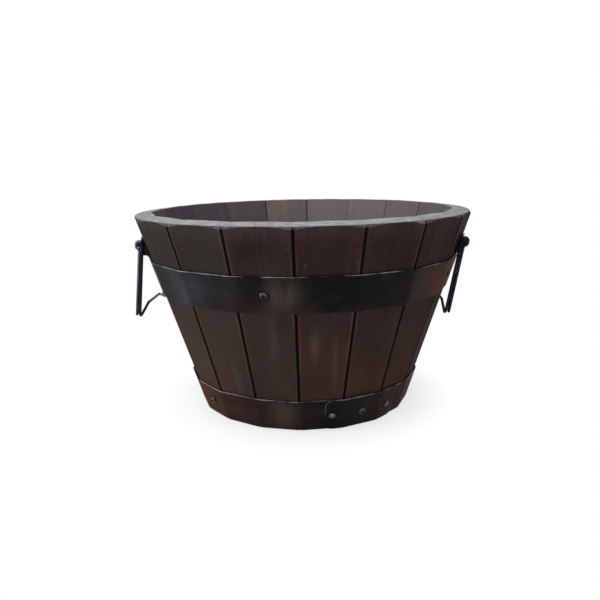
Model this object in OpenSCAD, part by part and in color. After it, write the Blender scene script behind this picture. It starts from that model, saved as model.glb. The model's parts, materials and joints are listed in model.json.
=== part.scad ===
// Wooden barrel planter: a tapered tub of flat staves held by two steel hoops,
// with a planked base let into a groove and two wire drop handles.
// Frame: floor centre at the origin, +Z up, the handles on the X axis.

/* [Barrel] */
// Width over the stave joints at the rim
top_d = 436; // [400:1:520]
// Width over the stave joints at the floor
bottom_d = 276; // [230:1:330]
// Height of the rim's inner edge above the floor
barrel_h = 253; // [225:1:305]
// Number of staves round the tub, an even number
stave_count = 18; // [16:2:20]
// Thickness of a stave, square to its face
stave_t = 22; // [18:0.5:26]
// Gap left between two staves by their planed edges
stave_gap = 0.3; // [0.2:0.05:0.8]
// Width of the bevel along each outer edge of a stave
stave_bevel = 1.5; // [0.8:0.1:2.5]
// Depth of that bevel, in towards the axis
bevel_depth = 3; // [1:0.1:5]
// Fall of the turned top face, from the inner edge outwards, in degrees
rim_fall = 7; // [0:0.5:12]
// Width of the turned outer bevel at the stave joints
rim_bevel = 4; // [3.7:0.1:7]
// Steepness of that bevel, in degrees from level
rim_bevel_angle = 64; // [50:1:68]

/* [Base] */
// Height of the base's underside above the floor
base_z = 24; // [12:1:40]
// Thickness of the base boards
base_t = 14; // [10:0.5:20]
// Number of boards in the base
base_boards = 4; // [2:2:6]
// How far the base boards reach into the staves' groove
groove_depth = 8; // [6:0.5:10]
// Play of the boards in the groove and between each other
base_play = 0.3; // [0.1:0.05:1]
// Diameter of the drain holes
drain_d = 14; // [8:0.5:18]

/* [Hoops] */
// Height of the upper hoop's lower edge
upper_hoop_z = 154; // [120:1:180]
// Height of the lower hoop's lower edge
lower_hoop_z = 1; // [0.5:0.5:20]
// Height of the upper hoop
upper_hoop_h = 43; // [30:1:52]
// Height of the lower hoop
lower_hoop_h = 41; // [30:1:52]
// Thickness of the hoop steel
hoop_t = 1.6; // [1.2:0.1:3]
// How far a hoop bridges clear of the stave faces
hoop_off = 0.3; // [0.2:0.05:1.4]
// Angle over which a hoop's ends overlap
lap_angle = 38; // [32:1:50]
// Radius of the corners of a hoop's outer end
lap_corner = 9; // [4:0.5:14]

/* [Fasteners] */
// Head diameter of the hoop screws
screw_head_d = 10.5; // [8:0.5:13]
// Shank diameter of the screws and rivets
shank_d = 4; // [3:0.1:5]
// How deep the shanks go into a stave
shank_depth = 14; // [8:0.5:16]
// Head diameter of the lap rivets
rivet_head_d = 9; // [7:0.5:12]
// Clearance of every shank in its hole, and under every head
fit = 0.05; // [0.02:0.01:0.1]

/* [Handles] */
// Distance between the two eyes of a handle
handle_w = 130; // [120:1:150]
// Drop from the pivot to the lowest wire
handle_drop = 92; // [80:1:100]
// Wire diameter
wire_d = 3.6; // [3:0.1:4]
// How far the grip is raised above the corners
grip_rise = 10; // [6:0.5:12]
// Height of the pivots above the upper hoop
pivot_rise = 18; // [17:0.5:21]
// Distance of the pivots from the stave face
pivot_out = 7.6; // [6.8:0.1:10]
// Least gap between the right handle's grip and the staves
grip_clear = 1.5; // [0.5:0.1:5]
// Lean of the left handle from plumb, outwards
left_lean = 6; // [0:0.5:10]
// Angle at which the right handle stands off the slope of the staves
right_stand = 6.8; // [6.3:0.1:17]
// Width of a handle plate
plate_w = 20; // [16:1:22]
// Thickness of a handle plate and its lug
plate_t = 2.5; // [2:0.1:3]

/* [Hidden] */
$fn = 96;
far = 400;

// The tub's taper. corner_r is the radius to the stave joints and flat_r the
// distance to the middle of a stave's outer face, both at height z.
step = 360 / stave_count;
half = step / 2;
function corner_r(z) = bottom_d / 2 + (top_d - bottom_d) / 2 * z / barrel_h;
function flat_r(z) = corner_r(z) * cos(half);
face_lean = atan((flat_r(barrel_h) - flat_r(0)) / barrel_h);
joint_lean = atan((corner_r(barrel_h) - corner_r(0)) / barrel_h);
stave_x = stave_t / cos(face_lean);
spare = 12;

// The turned rim: its fall starts at the inner edge of the stave faces.
rim_r = flat_r(barrel_h) - stave_x;
bevel_r = corner_r(barrel_h) - rim_bevel;
function rim_z(r) = barrel_h - (r - rim_r) * tan(rim_fall);

// The base sits in a groove cut square to the axis.
base_r = flat_r(base_z) - stave_x + groove_depth;
board_w = 2 * base_r / base_boards;
drain_y = base_r * 0.45;

// Stave numbers count round from +X. The photographed front lies at -Y.
upper_screw_staves = [3, 8, 13, 17];
lower_screw_staves = [1, 5, 8, 11, 15];
upper_lap_stave = 3;
lower_lap_stave = 15;
lap_rivet_turn = 15;
lap_end_turn = lap_angle / 2 - 0.5;
lap_layer_gap = 0.1;
joggle_turn = 3;
screw_head_h = 2.8;
rivet_head_h = 2.4;
recess_d = 3.4;
recess_depth = 1.5;
upper_mid = upper_hoop_z + upper_hoop_h / 2;
lower_mid = lower_hoop_z + lower_hoop_h / 2;
hoop_face = hoop_off + hoop_t;
lap_face = hoop_face + hoop_t + lap_layer_gap;

// Handles. The eyes turn on pins that the lugs carry, next to the stave
// on either side of the X axis.
plate_stave = 1;
plate_turn = plate_stave * step;
pivot_z = upper_hoop_z + upper_hoop_h + pivot_rise;
eye_y = handle_w / 2;
pin_d = wire_d;
eye_clear = 0.3;
eye_r = (pin_d + wire_d) / 2 + eye_clear;
right_lean = face_lean - right_stand;

// The pivots stand far enough out for the eyes to clear the staves beside them
// and for the right handle's grip to clear the stave between them.
grip_l = handle_drop - grip_rise;
eye_pivot_x = (flat_r(pivot_z) + pivot_out - eye_y * sin(plate_turn)) / cos(plate_turn);
grip_pivot_x = flat_r(pivot_z) + grip_l * (sin(right_lean) - cos(right_lean) * tan(face_lean))
    + (eye_r + wire_d / 2) / cos(face_lean) + grip_clear;
pivot_x = max(eye_pivot_x, grip_pivot_x);
wire_gap = 0.1;
lug_gap = 0.5;
lug_t = plate_t;
lug_y = eye_y - wire_d / 2 - lug_gap - lug_t;
lug_nose = pin_d / 2 + 1.4;
lug_foot = 15;
lug_head = 6;
lug_root = plate_t / 2;
plate_low = 1.5;
plate_high = 27;
plate_corner = 5;
plate_seat = 0.05;
plate_screws = [7.5, 20.5];
corner_bend = 6;
grip_bend = 15;
grip_slope = 18;
return_bend = 4;
return_drop = 2;
wire_sides = 12;
wire_turn = 15;

stave_names = [for (i = [1:stave_count]) str("stave_", i < 10 ? "0" : "", i)];
board_names = [for (i = [1:base_boards]) str("base_board_", i)];

// A place on a stave's outer face: +Z points out of the face and +X down it.
module on_face(stave, z, turn = 0) {
    rotate([0, 0, stave * step])
        translate([flat_r(z), flat_r(z) * tan(turn), z])
            rotate([0, 90 + face_lean, 0])
                children();
}

// ---------- staves ----------

// A board that leans with the tub, wider than a stave.
module leaning_board(off = 0, z0 = 0, z1 = barrel_h + spare, inner = stave_x) {
    rotate([90, 0, 0])
        linear_extrude(height = 2 * far, center = true)
            polygon([
                [flat_r(z0) + off - inner, z0],
                [flat_r(z0) + off, z0],
                [flat_r(z1) + off, z1],
                [flat_r(z1) + off - inner, z1]
            ]);
}

// The sector of the tub that one stave fills, less its share of the gap.
module stave_sector() {
    apex = stave_gap / 2 / sin(half);
    linear_extrude(height = barrel_h + spare)
        polygon([[apex, 0], [far, (far - apex) * tan(half)], [far, -(far - apex) * tan(half)]]);
}

// The wedge that bevels the outer edges along a joint, its apex inwards.
module joint_groove() {
    reach = 4;
    w = stave_bevel * (bevel_depth + reach) / bevel_depth;
    translate([corner_r(0), 0, 0])
        rotate([0, joint_lean, 0])
            translate([0, 0, -spare])
                linear_extrude(height = barrel_h + 4 * spare)
                    polygon([[-bevel_depth, 0], [reach, -w], [reach, w]]);
}

// What the lathe takes off the top: the falling face and the outer bevel.
module rim_waste() {
    reach = 30;
    rotate_extrude()
        polygon([
            [rim_r - reach, rim_z(rim_r - reach)],
            [bevel_r, rim_z(bevel_r)],
            [bevel_r + reach, rim_z(bevel_r) - reach * tan(rim_bevel_angle)],
            [bevel_r + reach, barrel_h + reach],
            [rim_r - reach, barrel_h + reach]
        ]);
}

// The groove that holds the base boards.
module base_groove() {
    translate([0, 0, base_z - base_play])
        cylinder(r = base_r + base_play, h = base_t + 2 * base_play);
}

// Pilot holes for each fastener that enters this stave.
module pilot_hole(stave, z, turn = 0) {
    on_face(stave, z, turn)
        translate([0, 0, -shank_depth - 1])
            cylinder(d = shank_d + 2 * fit, h = shank_depth + 5, $fn = 24);
}

module pilot_holes(stave) {
    for (s = upper_screw_staves)
        if (s == stave) pilot_hole(s, upper_mid);
    for (s = lower_screw_staves)
        if (s == stave) pilot_hole(s, lower_mid);
    for (side = [-1, 1]) {
        if (lap_rivet_stave(upper_lap_stave, side) == stave)
            pilot_hole(stave, upper_mid, lap_rivet_offset(side));
        if (lap_rivet_stave(lower_lap_stave, side) == stave)
            pilot_hole(stave, lower_mid, lap_rivet_offset(side));
    }
    for (k = [0:3])
        if (plate_staves[k] == stave)
            for (s = plate_screws)
                plate_place(k) plate_hole(s, shank_depth);
}

module stave(i) {
    color([0.20, 0.14, 0.12])
        difference() {
            rotate([0, 0, i * step])
                difference() {
                    intersection() {
                        leaning_board();
                        stave_sector();
                    }
                    rotate([0, 0, half]) joint_groove();
                    rotate([0, 0, -half]) joint_groove();
                }
            rim_waste();
            base_groove();
            pilot_holes(i);
        }
}

// ---------- base ----------

module base_board(i) {
    gap = base_play / 2;
    color([0.26, 0.19, 0.15])
        translate([0, 0, base_z])
            difference() {
                intersection() {
                    cylinder(r = base_r, h = base_t);
                    translate([-base_r + i * board_w + gap, -far / 2, 0])
                        cube([board_w - 2 * gap, far, base_t]);
                }
                if (abs(i - (base_boards - 1) / 2) < 1)
                    for (y = [-drain_y, drain_y])
                        translate([-base_r + (i + 0.5) * board_w, y, -1])
                            cylinder(d = drain_d, h = base_t + 2, $fn = 48);
            }
}

// ---------- hoops ----------

// A prism that follows the stave faces at a distance, with its corners
// turned round as the band bends over the joints.
module banded_core(off, z0, z1) {
    intersection() {
        intersection_for (k = [0:stave_count - 1])
            rotate([0, 0, k * step])
                leaning_board(off / cos(face_lean), z0, z1, 2 * far);
        translate([0, 0, z0])
            cylinder(
                r1 = corner_r(z0) + off - hoop_off + fit,
                r2 = corner_r(z1) + off - hoop_off + fit,
                h = z1 - z0,
                $fn = 180
            );
    }
}

module band(off, t, z0, z1) {
    difference() {
        banded_core(off + t, z0, z1);
        banded_core(off, z0 - 1, z1 + 1);
    }
}

// A wedge round the axis, from turn a to turn b, as tall as the tub.
module sector(a, b) {
    mid = (a + b) / 2;
    rotate([0, 0, mid])
        translate([0, 0, -1])
            linear_extrude(height = barrel_h)
                polygon([[0, 0], [far, -far * tan((b - a) / 2)], [far, far * tan((b - a) / 2)]]);
}

// The outline that rounds both corners of the hoop's outer end.
module lap_end_waste(stave, z0, z1) {
    mid = (z0 + z1) / 2;
    slope_h = (z1 - z0) / cos(face_lean);
    end_u = flat_r(mid) * tan(step - lap_end_turn);
    r = lap_corner;
    rotate([0, 0, (stave - 1) * step])
        translate([flat_r(mid), 0, mid])
            rotate([0, 90 + face_lean, 0])
                translate([0, 0, hoop_face + lap_layer_gap / 2])
                    linear_extrude(height = 10)
                        for (side = [-1, 1])
                            scale([side, 1])
                                difference() {
                                    translate([slope_h / 2 - r, end_u - 1])
                                        square([r + 4, r + 1]);
                                    translate([slope_h / 2 - r, end_u + r])
                                        circle(r = r, $fn = 64);
                                    translate([slope_h / 2 - r - 1, end_u + r])
                                        square([r + 6, r]);
                                }
}

// One band whose ends overlap: the inner end stops under the outer one,
// and the joggle steps the outer end up over it.
module hoop(z0, h, screw_staves, lap_stave) {
    z1 = z0 + h;
    c = lap_stave * step;
    e = lap_end_turn;
    j = joggle_turn;
    color([0.12, 0.12, 0.13])
        difference() {
            union() {
                difference() {
                    band(hoop_off, hoop_t, z0, z1);
                    sector(c + e, c + e + 2);
                }
                difference() {
                    intersection() {
                        band(hoop_face + lap_layer_gap, hoop_t, z0, z1);
                        sector(c - e, c + e + 2);
                    }
                    lap_end_waste(lap_stave, z0, z1);
                }
                intersection() {
                    band(hoop_off, lap_face - hoop_off, z0, z1);
                    sector(c + e + 1, c + e + j);
                }
            }
            hoop_holes(z0 + h / 2, screw_staves, lap_stave);
        }
}

module hoop_holes(mid, screw_staves, lap_stave) {
    for (s = screw_staves)
        on_face(s, mid) hoop_hole();
    for (side = [-1, 1])
        on_face(lap_rivet_stave(lap_stave, side), mid, lap_rivet_offset(side)) hoop_hole();
}

module hoop_hole() {
    translate([0, 0, -1])
        cylinder(d = shank_d + 2 * fit, h = 12, $fn = 24);
}

// ---------- fasteners ----------

// A low dome on a shank, its underside at z = 0. The screws have a driver recess.
module domed_fastener(head_d, head_h, grip, recess = false) {
    dome_r = (pow(head_d / 2, 2) + pow(head_h, 2)) / (2 * head_h);
    difference() {
        union() {
            intersection() {
                translate([0, 0, head_h - dome_r]) sphere(r = dome_r);
                cylinder(d = head_d - 0.4, h = head_h, $fn = 48);
            }
            translate([0, 0, -grip])
                cylinder(d = shank_d, h = grip + 0.5, $fn = 24);
        }
        if (recess)
            translate([0, 0, head_h - recess_depth])
                cylinder(d = recess_d, h = recess_depth + 1, $fn = 24);
    }
}

// The lap rivets stand either side of the lap's middle, each on its own stave.
function lap_rivet_stave(lap_stave, side) =
    (lap_stave + side * round(lap_rivet_turn / step) + stave_count) % stave_count;
function lap_rivet_offset(side) = side * (lap_rivet_turn - round(lap_rivet_turn / step) * step);

function screw_seat(s, lap_stave) = s == lap_stave ? lap_face : hoop_face;

module hoop_screws(staves, lap_stave, z) {
    color([0.16, 0.16, 0.17])
        for (s = staves)
            on_face(s, z)
                translate([0, 0, screw_seat(s, lap_stave) + fit])
                    domed_fastener(screw_head_d, screw_head_h, shank_depth, true);
}

module lap_rivets(lap_stave, z) {
    color([0.35, 0.36, 0.40])
        for (side = [-1, 1])
            on_face(lap_rivet_stave(lap_stave, side), z, lap_rivet_offset(side))
                translate([0, 0, lap_face + fit])
                    domed_fastener(rivet_head_d, rivet_head_h, shank_depth);
}

// ---------- handle brackets ----------

// The four brackets in order: left front, left rear, right front, right rear.
// Each is the right rear one mirrored across X, across Y, or both.
bracket_x = [-1, -1, 1, 1];
bracket_y = [-1, 1, -1, 1];
plate_staves = [
    stave_count / 2 + plate_stave,
    stave_count / 2 - plate_stave,
    stave_count - plate_stave,
    plate_stave
];

module mirrored(k) {
    mirror([bracket_x[k] < 0 ? 1 : 0, 0, 0])
        mirror([0, bracket_y[k] < 0 ? 1 : 0, 0])
            children();
}

// Plate frame: origin on the stave face at the upper hoop's top edge, +X out
// of the face, +Z up it and +Y round the tub.
plate_z = upper_hoop_z + upper_hoop_h;
lug_u = (lug_y + lug_t / 2) * cos(plate_turn)
    - (wall_x(pivot_z) + plate_t) * sin(plate_turn);
plate_u = lug_u - plate_w / 2 + 1;

module plate_frame() {
    rotate([0, 0, plate_turn])
        translate([flat_r(plate_z), plate_u, plate_z])
            rotate([0, face_lean, 0])
                children();
}

module plate_place(k) {
    mirrored(k) plate_frame() children();
}

module plate_hole(s, depth) {
    translate([-depth - 1, 0, s])
        rotate([0, 90, 0])
            cylinder(d = shank_d + 2 * fit, h = depth + 20, $fn = 24);
}

// The plate's outline on the stave face, with rounded corners.
module plate_outline() {
    r = plate_corner;
    translate([-plate_w / 2 + r, plate_low])
        square([plate_w - 2 * r, plate_high - plate_low]);
    translate([-plate_w / 2, plate_low + r])
        square([plate_w, plate_high - plate_low - 2 * r]);
    for (u = [-1, 1])
        for (v = [plate_low + r, plate_high - r])
            translate([u * (plate_w / 2 - r), v]) circle(r = r, $fn = 48);
}

// The lug stands square to the handle's pivot line and carries the pin.
function wall_x(z) = (flat_r(z) - (lug_y + lug_t / 2) * sin(plate_turn)) / cos(plate_turn);

module lug() {
    foot = pivot_z - lug_foot;
    head = pivot_z + lug_head;
    translate([0, lug_y + lug_t, 0])
        rotate([90, 0, 0])
            linear_extrude(height = lug_t)
                difference() {
                    union() {
                        polygon([
                            [wall_x(foot) + lug_root, foot],
                            [pivot_x - eye_r, foot + 1],
                            [pivot_x + lug_nose * 0.8, pivot_z - lug_nose * 0.6],
                            [pivot_x, pivot_z + lug_nose],
                            [wall_x(head) + lug_root, head]
                        ]);
                        translate([pivot_x, pivot_z]) circle(r = lug_nose, $fn = 48);
                    }
                    translate([pivot_x, pivot_z]) circle(d = pin_d + 2 * fit, $fn = 48);
                }
}

module bracket(k) {
    color([0.10, 0.10, 0.11])
        mirrored(k)
            difference() {
                union() {
                    plate_frame()
                        translate([plate_seat, 0, 0])
                            rotate([0, 90, 0])
                                rotate([0, 0, 90])
                                    linear_extrude(height = plate_t)
                                        plate_outline();
                    lug();
                }
                for (s = plate_screws)
                    plate_frame() plate_hole(s, 0);
            }
}

module bracket_screws() {
    color([0.16, 0.16, 0.17])
        for (k = [0:3])
            for (s = plate_screws)
                plate_place(k)
                    translate([plate_seat + plate_t + fit, 0, s])
                        rotate([0, 90, 0])
                            domed_fastener(screw_head_d - 2, screw_head_h - 0.6, shank_depth, true);
}

// A pin through the lug, headed on both sides, with the handle's eye between.
module pivot_pin() {
    head_t = 1.2;
    inner = lug_y - fit;
    outer = eye_y + wire_d / 2 + lug_gap;
    translate([pivot_x, 0, pivot_z])
        rotate([-90, 0, 0]) {
            translate([0, 0, inner - head_t])
                cylinder(d = pin_d + 1.8, h = head_t, $fn = 48);
            translate([0, 0, inner])
                cylinder(d = pin_d, h = outer - inner, $fn = 48);
            translate([0, 0, outer])
                cylinder(d = pin_d + 1.8, h = head_t, $fn = 48);
        }
}

module pivot_pins(side) {
    color([0.10, 0.10, 0.11])
        mirror([side < 0 ? 1 : 0, 0, 0]) {
            pivot_pin();
            mirror([0, 1, 0]) pivot_pin();
        }
}

// ---------- handles ----------

// A wire's centre line runs on along +Z. Each stretch of it is [length] for a
// straight one, or [radius, angle, roll] for a bend towards the roll from +X.
// Frames are carried along it without twist, so every facet of the wire is flat.
function spin(a) = [[cos(a), -sin(a), 0, 0], [sin(a), cos(a), 0, 0], [0, 0, 1, 0], [0, 0, 0, 1]];
function run(l) = [[1, 0, 0, 0], [0, 1, 0, 0], [0, 0, 1, l], [0, 0, 0, 1]];
function arc(r, a) = [
    [cos(a), 0, sin(a), r * (1 - cos(a))],
    [0, 1, 0, 0],
    [-sin(a), 0, cos(a), r * sin(a)],
    [0, 0, 0, 1]
];
function bend(s, part) = spin(s[2]) * arc(s[0], s[1] * part) * spin(-s[2]);
function stretch(s, part) = len(s) == 1 ? run(s[0] * part) : bend(s, part);
function stretch_count(s) = len(s) == 1 ? 1 : ceil(s[1] / wire_turn);
function frames(path, at, i = 0) =
    i == len(path) ? [] :
    let (n = stretch_count(path[i]))
        concat(
            [for (k = [1:n]) at * stretch(path[i], k / n)],
            frames(path, at * stretch(path[i], 1), i + 1)
        );
function ring(at, r) = [
    for (k = [0:wire_sides - 1])
        let (a = 360 * k / wire_sides)
            let (p = at * [r * cos(a), r * sin(a), 0, 1])
                [p[0], p[1], p[2]]
];

// The surface through a list of rings, closed by a flat at each end.
module skin(rings) {
    n = wire_sides;
    last = len(rings) - 1;
    polyhedron(
        points = [for (r = rings) for (p = r) p],
        faces = concat(
            [[for (k = [0:n - 1]) k]],
            [[for (k = [n - 1:-1:0]) last * n + k]],
            [
                for (i = [0:last - 1])
                    for (k = [0:n - 1])
                        [i * n + k, (i + 1) * n + k, (i + 1) * n + (k + 1) % n, i * n + (k + 1) % n]
            ]
        )
    );
}

// Half of a handle, hanging from the pin at the origin. The wire's end runs up
// the leg, swings out to form the eye over the pin, and comes down again as
// the leg's inner strand to the corner and half of the grip.
return_shift = 2 * eye_r - wire_d - wire_gap;
return_angle = acos(1 - return_shift / (2 * return_bend));
return_h = 2 * return_bend * sin(return_angle);
strand_top = -return_drop - return_h;
strand_end = -handle_drop + 2.5;
slope_len = (grip_rise - (corner_bend + grip_bend) * (1 - cos(grip_slope))) / sin(grip_slope);
grip_half = eye_y - corner_bend * (1 + sin(grip_slope)) - slope_len * cos(grip_slope)
    - grip_bend * sin(grip_slope);

leg_path = [
    [strand_top - strand_end],
    [return_bend, return_angle, 0],
    [return_bend, return_angle, 180],
    [return_drop],
    [eye_r, 180, 180],
    [handle_drop - corner_bend],
    [corner_bend, 90 + grip_slope, 90],
    [slope_len],
    [grip_bend, grip_slope, -90],
    [grip_half]
];
half_start = [
    [1, 0, 0, eye_r - return_shift],
    [0, 1, 0, -eye_y],
    [0, 0, 1, strand_end],
    [0, 0, 0, 1]
];
half_end_rings = [
    for (a = [25, 45, 65, 90])
        ring(half_start * run(-wire_d / 2 * cos(a)), wire_d / 2 * sin(a))
];
half_rings = concat(
    half_end_rings,
    [for (m = frames(leg_path, half_start)) ring(m, wire_d / 2)]
);

// Both halves as one wire, the second half mirrored and run backwards.
module bail() {
    count = len(half_rings);
    skin(concat(
        half_rings,
        [for (i = [count - 2:-1:0]) [for (p = half_rings[i]) [p[0], -p[1], p[2]]]]
    ));
}

module handle(side, lean) {
    color([0.10, 0.10, 0.11])
        mirror([side < 0 ? 1 : 0, 0, 0])
            translate([pivot_x, 0, pivot_z])
                rotate([0, -lean, 0])
                    bail();
}

// ---------- the object ----------

for (i = [0:stave_count - 1])
    stave(i);
for (i = [0:base_boards - 1])
    base_board(i);
hoop(upper_hoop_z, upper_hoop_h, upper_screw_staves, upper_lap_stave);  // upper_hoop
hoop(lower_hoop_z, lower_hoop_h, lower_screw_staves, lower_lap_stave);  // lower_hoop
hoop_screws(upper_screw_staves, upper_lap_stave, upper_mid);  // upper_hoop_screws
hoop_screws(lower_screw_staves, lower_lap_stave, lower_mid);  // lower_hoop_screws
lap_rivets(upper_lap_stave, upper_mid);  // upper_lap_rivets
lap_rivets(lower_lap_stave, lower_mid);  // lower_lap_rivets
bracket(0);  // left_front_bracket
bracket(1);  // left_rear_bracket
bracket(2);  // right_front_bracket
bracket(3);  // right_rear_bracket
bracket_screws();
pivot_pins(-1);  // left_pivot_pins
pivot_pins(1);  // right_pivot_pins
handle(-1, left_lean);  // left_handle
handle(1, -right_lean);  // right_handle
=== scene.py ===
"""Wooden barrel planter: the looks of its staves, hoops, fasteners and drop handles.

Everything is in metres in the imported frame: floor centre at the origin, +Z up,
the handles on the X axis and the photographed front towards -Y.
"""

import json
import math
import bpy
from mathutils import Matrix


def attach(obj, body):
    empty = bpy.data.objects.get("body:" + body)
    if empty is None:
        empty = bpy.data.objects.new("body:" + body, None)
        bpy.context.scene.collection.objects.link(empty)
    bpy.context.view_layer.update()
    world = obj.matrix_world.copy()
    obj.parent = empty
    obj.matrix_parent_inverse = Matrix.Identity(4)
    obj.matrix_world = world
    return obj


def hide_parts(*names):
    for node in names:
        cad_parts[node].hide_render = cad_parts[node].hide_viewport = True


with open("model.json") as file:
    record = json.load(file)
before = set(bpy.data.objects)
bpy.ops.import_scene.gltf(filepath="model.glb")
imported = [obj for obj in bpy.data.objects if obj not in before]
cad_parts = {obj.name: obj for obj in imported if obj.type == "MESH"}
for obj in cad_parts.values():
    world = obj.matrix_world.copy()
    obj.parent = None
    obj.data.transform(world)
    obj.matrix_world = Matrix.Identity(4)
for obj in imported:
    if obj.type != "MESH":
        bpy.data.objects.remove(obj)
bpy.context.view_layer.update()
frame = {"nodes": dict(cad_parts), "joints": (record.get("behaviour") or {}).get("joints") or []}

from types import SimpleNamespace

import bmesh
import bpy
import numpy as np
from bpy.props import FloatProperty, FloatVectorProperty, IntProperty, PointerProperty
from mathutils import Matrix

bl_info = {
    "name": "Barrel Planter",
    "version": (1, 0, 0),
    "blender": (4, 5, 0),
    "location": "View3D > Sidebar > Planter",
    "description": "Builds the looks of a coopered barrel planter round its frame",
    "category": "Object",
}

PIVOT = next(joint["pos_m"] for joint in frame["joints"] if joint["name"] == "right_handle_swing")


# ---------- sizes and finishes that a user may change ----------


def length(name, default, about):
    """A float property measured as a length."""
    return FloatProperty(name=name, description=about, default=default, unit="LENGTH", precision=5)


def angle(name, degrees, about):
    """A float property measured as an angle, its default given in degrees."""
    return FloatProperty(
        name=name, description=about, default=math.radians(degrees), unit="ROTATION")


def colour(name, default, about):
    """A colour property, in linear light."""
    return FloatVectorProperty(
        name=name, description=about, default=default, subtype="COLOR", size=3, min=0, max=1)


class TubSizes(bpy.types.PropertyGroup):
    """Sizes of the staves and the base."""

    staves: IntProperty(
        name="Staves", description="Staves round the tub", default=18, min=12, max=24)
    top_d: length("Rim width", 0.436, "Width over the stave joints at the rim")
    bottom_d: length("Foot width", 0.276, "Width over the stave joints at the floor")
    height: length("Height", 0.253, "Height of the rim's inner edge")
    thickness: length("Stave thickness", 0.022, "Thickness of a stave, square to its face")
    bevel: length("Edge bevel", 0.0015, "Width of the bevel along the outer edges of a stave")
    bevel_depth: length("Bevel depth", 0.003, "Depth of that bevel, in towards the axis")
    rim_fall: angle("Rim fall", 7, "Fall of the turned top face, outwards")
    rim_bevel: length("Rim bevel", 0.004, "Width of the turned outer bevel at the joints")
    rim_bevel_angle: angle("Rim bevel angle", 64, "Steepness of the turned outer bevel")
    base_z: length("Base height", 0.024, "Height of the base's underside")
    base_t: length("Base thickness", 0.014, "Thickness of the base boards")
    groove: length("Groove depth", 0.008, "Depth of the groove that holds the base")
    play: length("Base play", 0.0003, "Play of the base in its groove")


class HoopSizes(bpy.types.PropertyGroup):
    """Sizes of the two hoops and what fastens them."""

    upper_z: length("Upper hoop height", 0.154, "Height of the upper hoop's lower edge")
    upper_h: length("Upper hoop depth", 0.043, "Depth of the upper hoop's band")
    lower_z: length("Lower hoop height", 0.001, "Height of the lower hoop's lower edge")
    lower_h: length("Lower hoop depth", 0.041, "Depth of the lower hoop's band")
    thickness: length("Hoop thickness", 0.0016, "Thickness of the hoop steel")
    stand_off: length("Stand-off", 0.0003, "How far a hoop bridges clear of the stave faces")
    lap: angle("Lap", 38, "Angle over which a hoop's ends overlap")
    corner: length("End corner", 0.009, "Radius of the corners of the outer end")
    screw_d: length("Screw head", 0.0105, "Head diameter of the hoop screws")
    rivet_d: length("Rivet head", 0.009, "Head diameter of the lap rivets")
    plate_screw_d: length("Plate screw head", 0.0085, "Head diameter of the plate screws")


class HandleSizes(bpy.types.PropertyGroup):
    """Sizes of the two drop handles."""

    width: length("Width", 0.13, "Distance between the two eyes")
    drop: length("Drop", 0.092, "Drop from the pivot to the lowest wire")
    wire: length("Wire", 0.0036, "Wire diameter")
    rise: length("Grip rise", 0.010, "How far the grip is raised above the corners")
    left_lean: angle("Left lean", 6, "Lean of the left handle from plumb, outwards")
    right_stand: angle("Right stand", 6.8, "Angle of the right handle off the slope of the staves")


class Finishes(bpy.types.PropertyGroup):
    """Colours of the planter's finishes."""

    stain: colour("Stain", (0.0190, 0.0130, 0.0122), "Dark stain on the outside of the staves")
    stain_dark: colour("Dark stain", (0.0112, 0.0072, 0.0070), "Stain where the grain drinks it")
    stain_worn: colour("Worn stain", (0.046, 0.034, 0.030), "Stain rubbed thin along the edges")
    # Inside, these two colours are mixed by each stave's paleness, which also paints light on the
    # inner right wall and shade on the inner left.
    inner_wood: colour("Inner wood", (0.124, 0.115, 0.119), "Weathered wood inside the tub")
    inner_dark: colour("Inner dark", (0.062, 0.053, 0.066), "Dark grain inside the tub")
    end_wood: colour("Rim wood", (0.235, 0.233, 0.239), "Weathered grey wood of the turned rim")
    end_dark: colour("Rim dark", (0.088, 0.085, 0.092), "Dark grain of the turned rim")
    raw_wood: colour("Raw wood", (0.24, 0.125, 0.070), "Fresh wood where the rim is chipped")
    hoop: colour("Hoop paint", (0.0042, 0.0038, 0.0046), "Black paint on the hoops")
    hoop_brown: colour("Hoop brown", (0.030, 0.019, 0.0145), "Brown bloom where the paint is thin")
    handle: colour("Handle paint", (0.004, 0.0042, 0.0056), "Black paint on handles and plates")
    # Also the colour of the painted highlight along the hoops' upper edges.
    steel: colour("Bare steel", (0.30, 0.30, 0.32), "Steel rubbed bare on edges and heads")


# ---------- the tub's shape ----------


class Tub:
    """The faceted cone that the staves make, from the sizes in a TubSizes group."""

    def __init__(self, sizes):
        self.s = sizes
        self.step = 2 * math.pi / sizes.staves
        self.half = self.step / 2
        self.r0 = sizes.bottom_d / 2
        self.growth = (sizes.top_d - sizes.bottom_d) / 2 / sizes.height
        self.lean = math.atan(self.growth * math.cos(self.half))
        self.wall = sizes.thickness / math.cos(self.lean)
        self.rim_r = self.flat(sizes.height) - self.wall
        self.bevel_r = self.corner(sizes.height) - sizes.rim_bevel
        self.base_r = self.flat(sizes.base_z) - self.wall + sizes.groove

    def corner(self, z):
        """Radius to the stave joints: it grows evenly with height."""
        return self.r0 + self.growth * z

    def flat(self, z):
        """Distance from the axis to the middle of a stave's face."""
        return self.corner(z) * math.cos(self.half)

    def rim_z(self, r):
        """Height of the turned top face, which falls outwards from the inner edge."""
        return self.s.height - (r - self.rim_r) * math.tan(self.s.rim_fall)

    def on_face(self, azimuth, z, offset=0.0, turn=0.0):
        """Matrix of a place on a face: +Z out of it, +X down it, offset along +Z."""
        place = Matrix.Rotation(azimuth, 4, "Z")
        place @= Matrix.Translation((self.flat(z), self.flat(z) * math.tan(turn), z))
        place @= Matrix.Rotation(math.pi / 2 + self.lean, 4, "Y")
        return place @ Matrix.Translation((0, 0, offset))


# ---------- surfaces ----------


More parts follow.
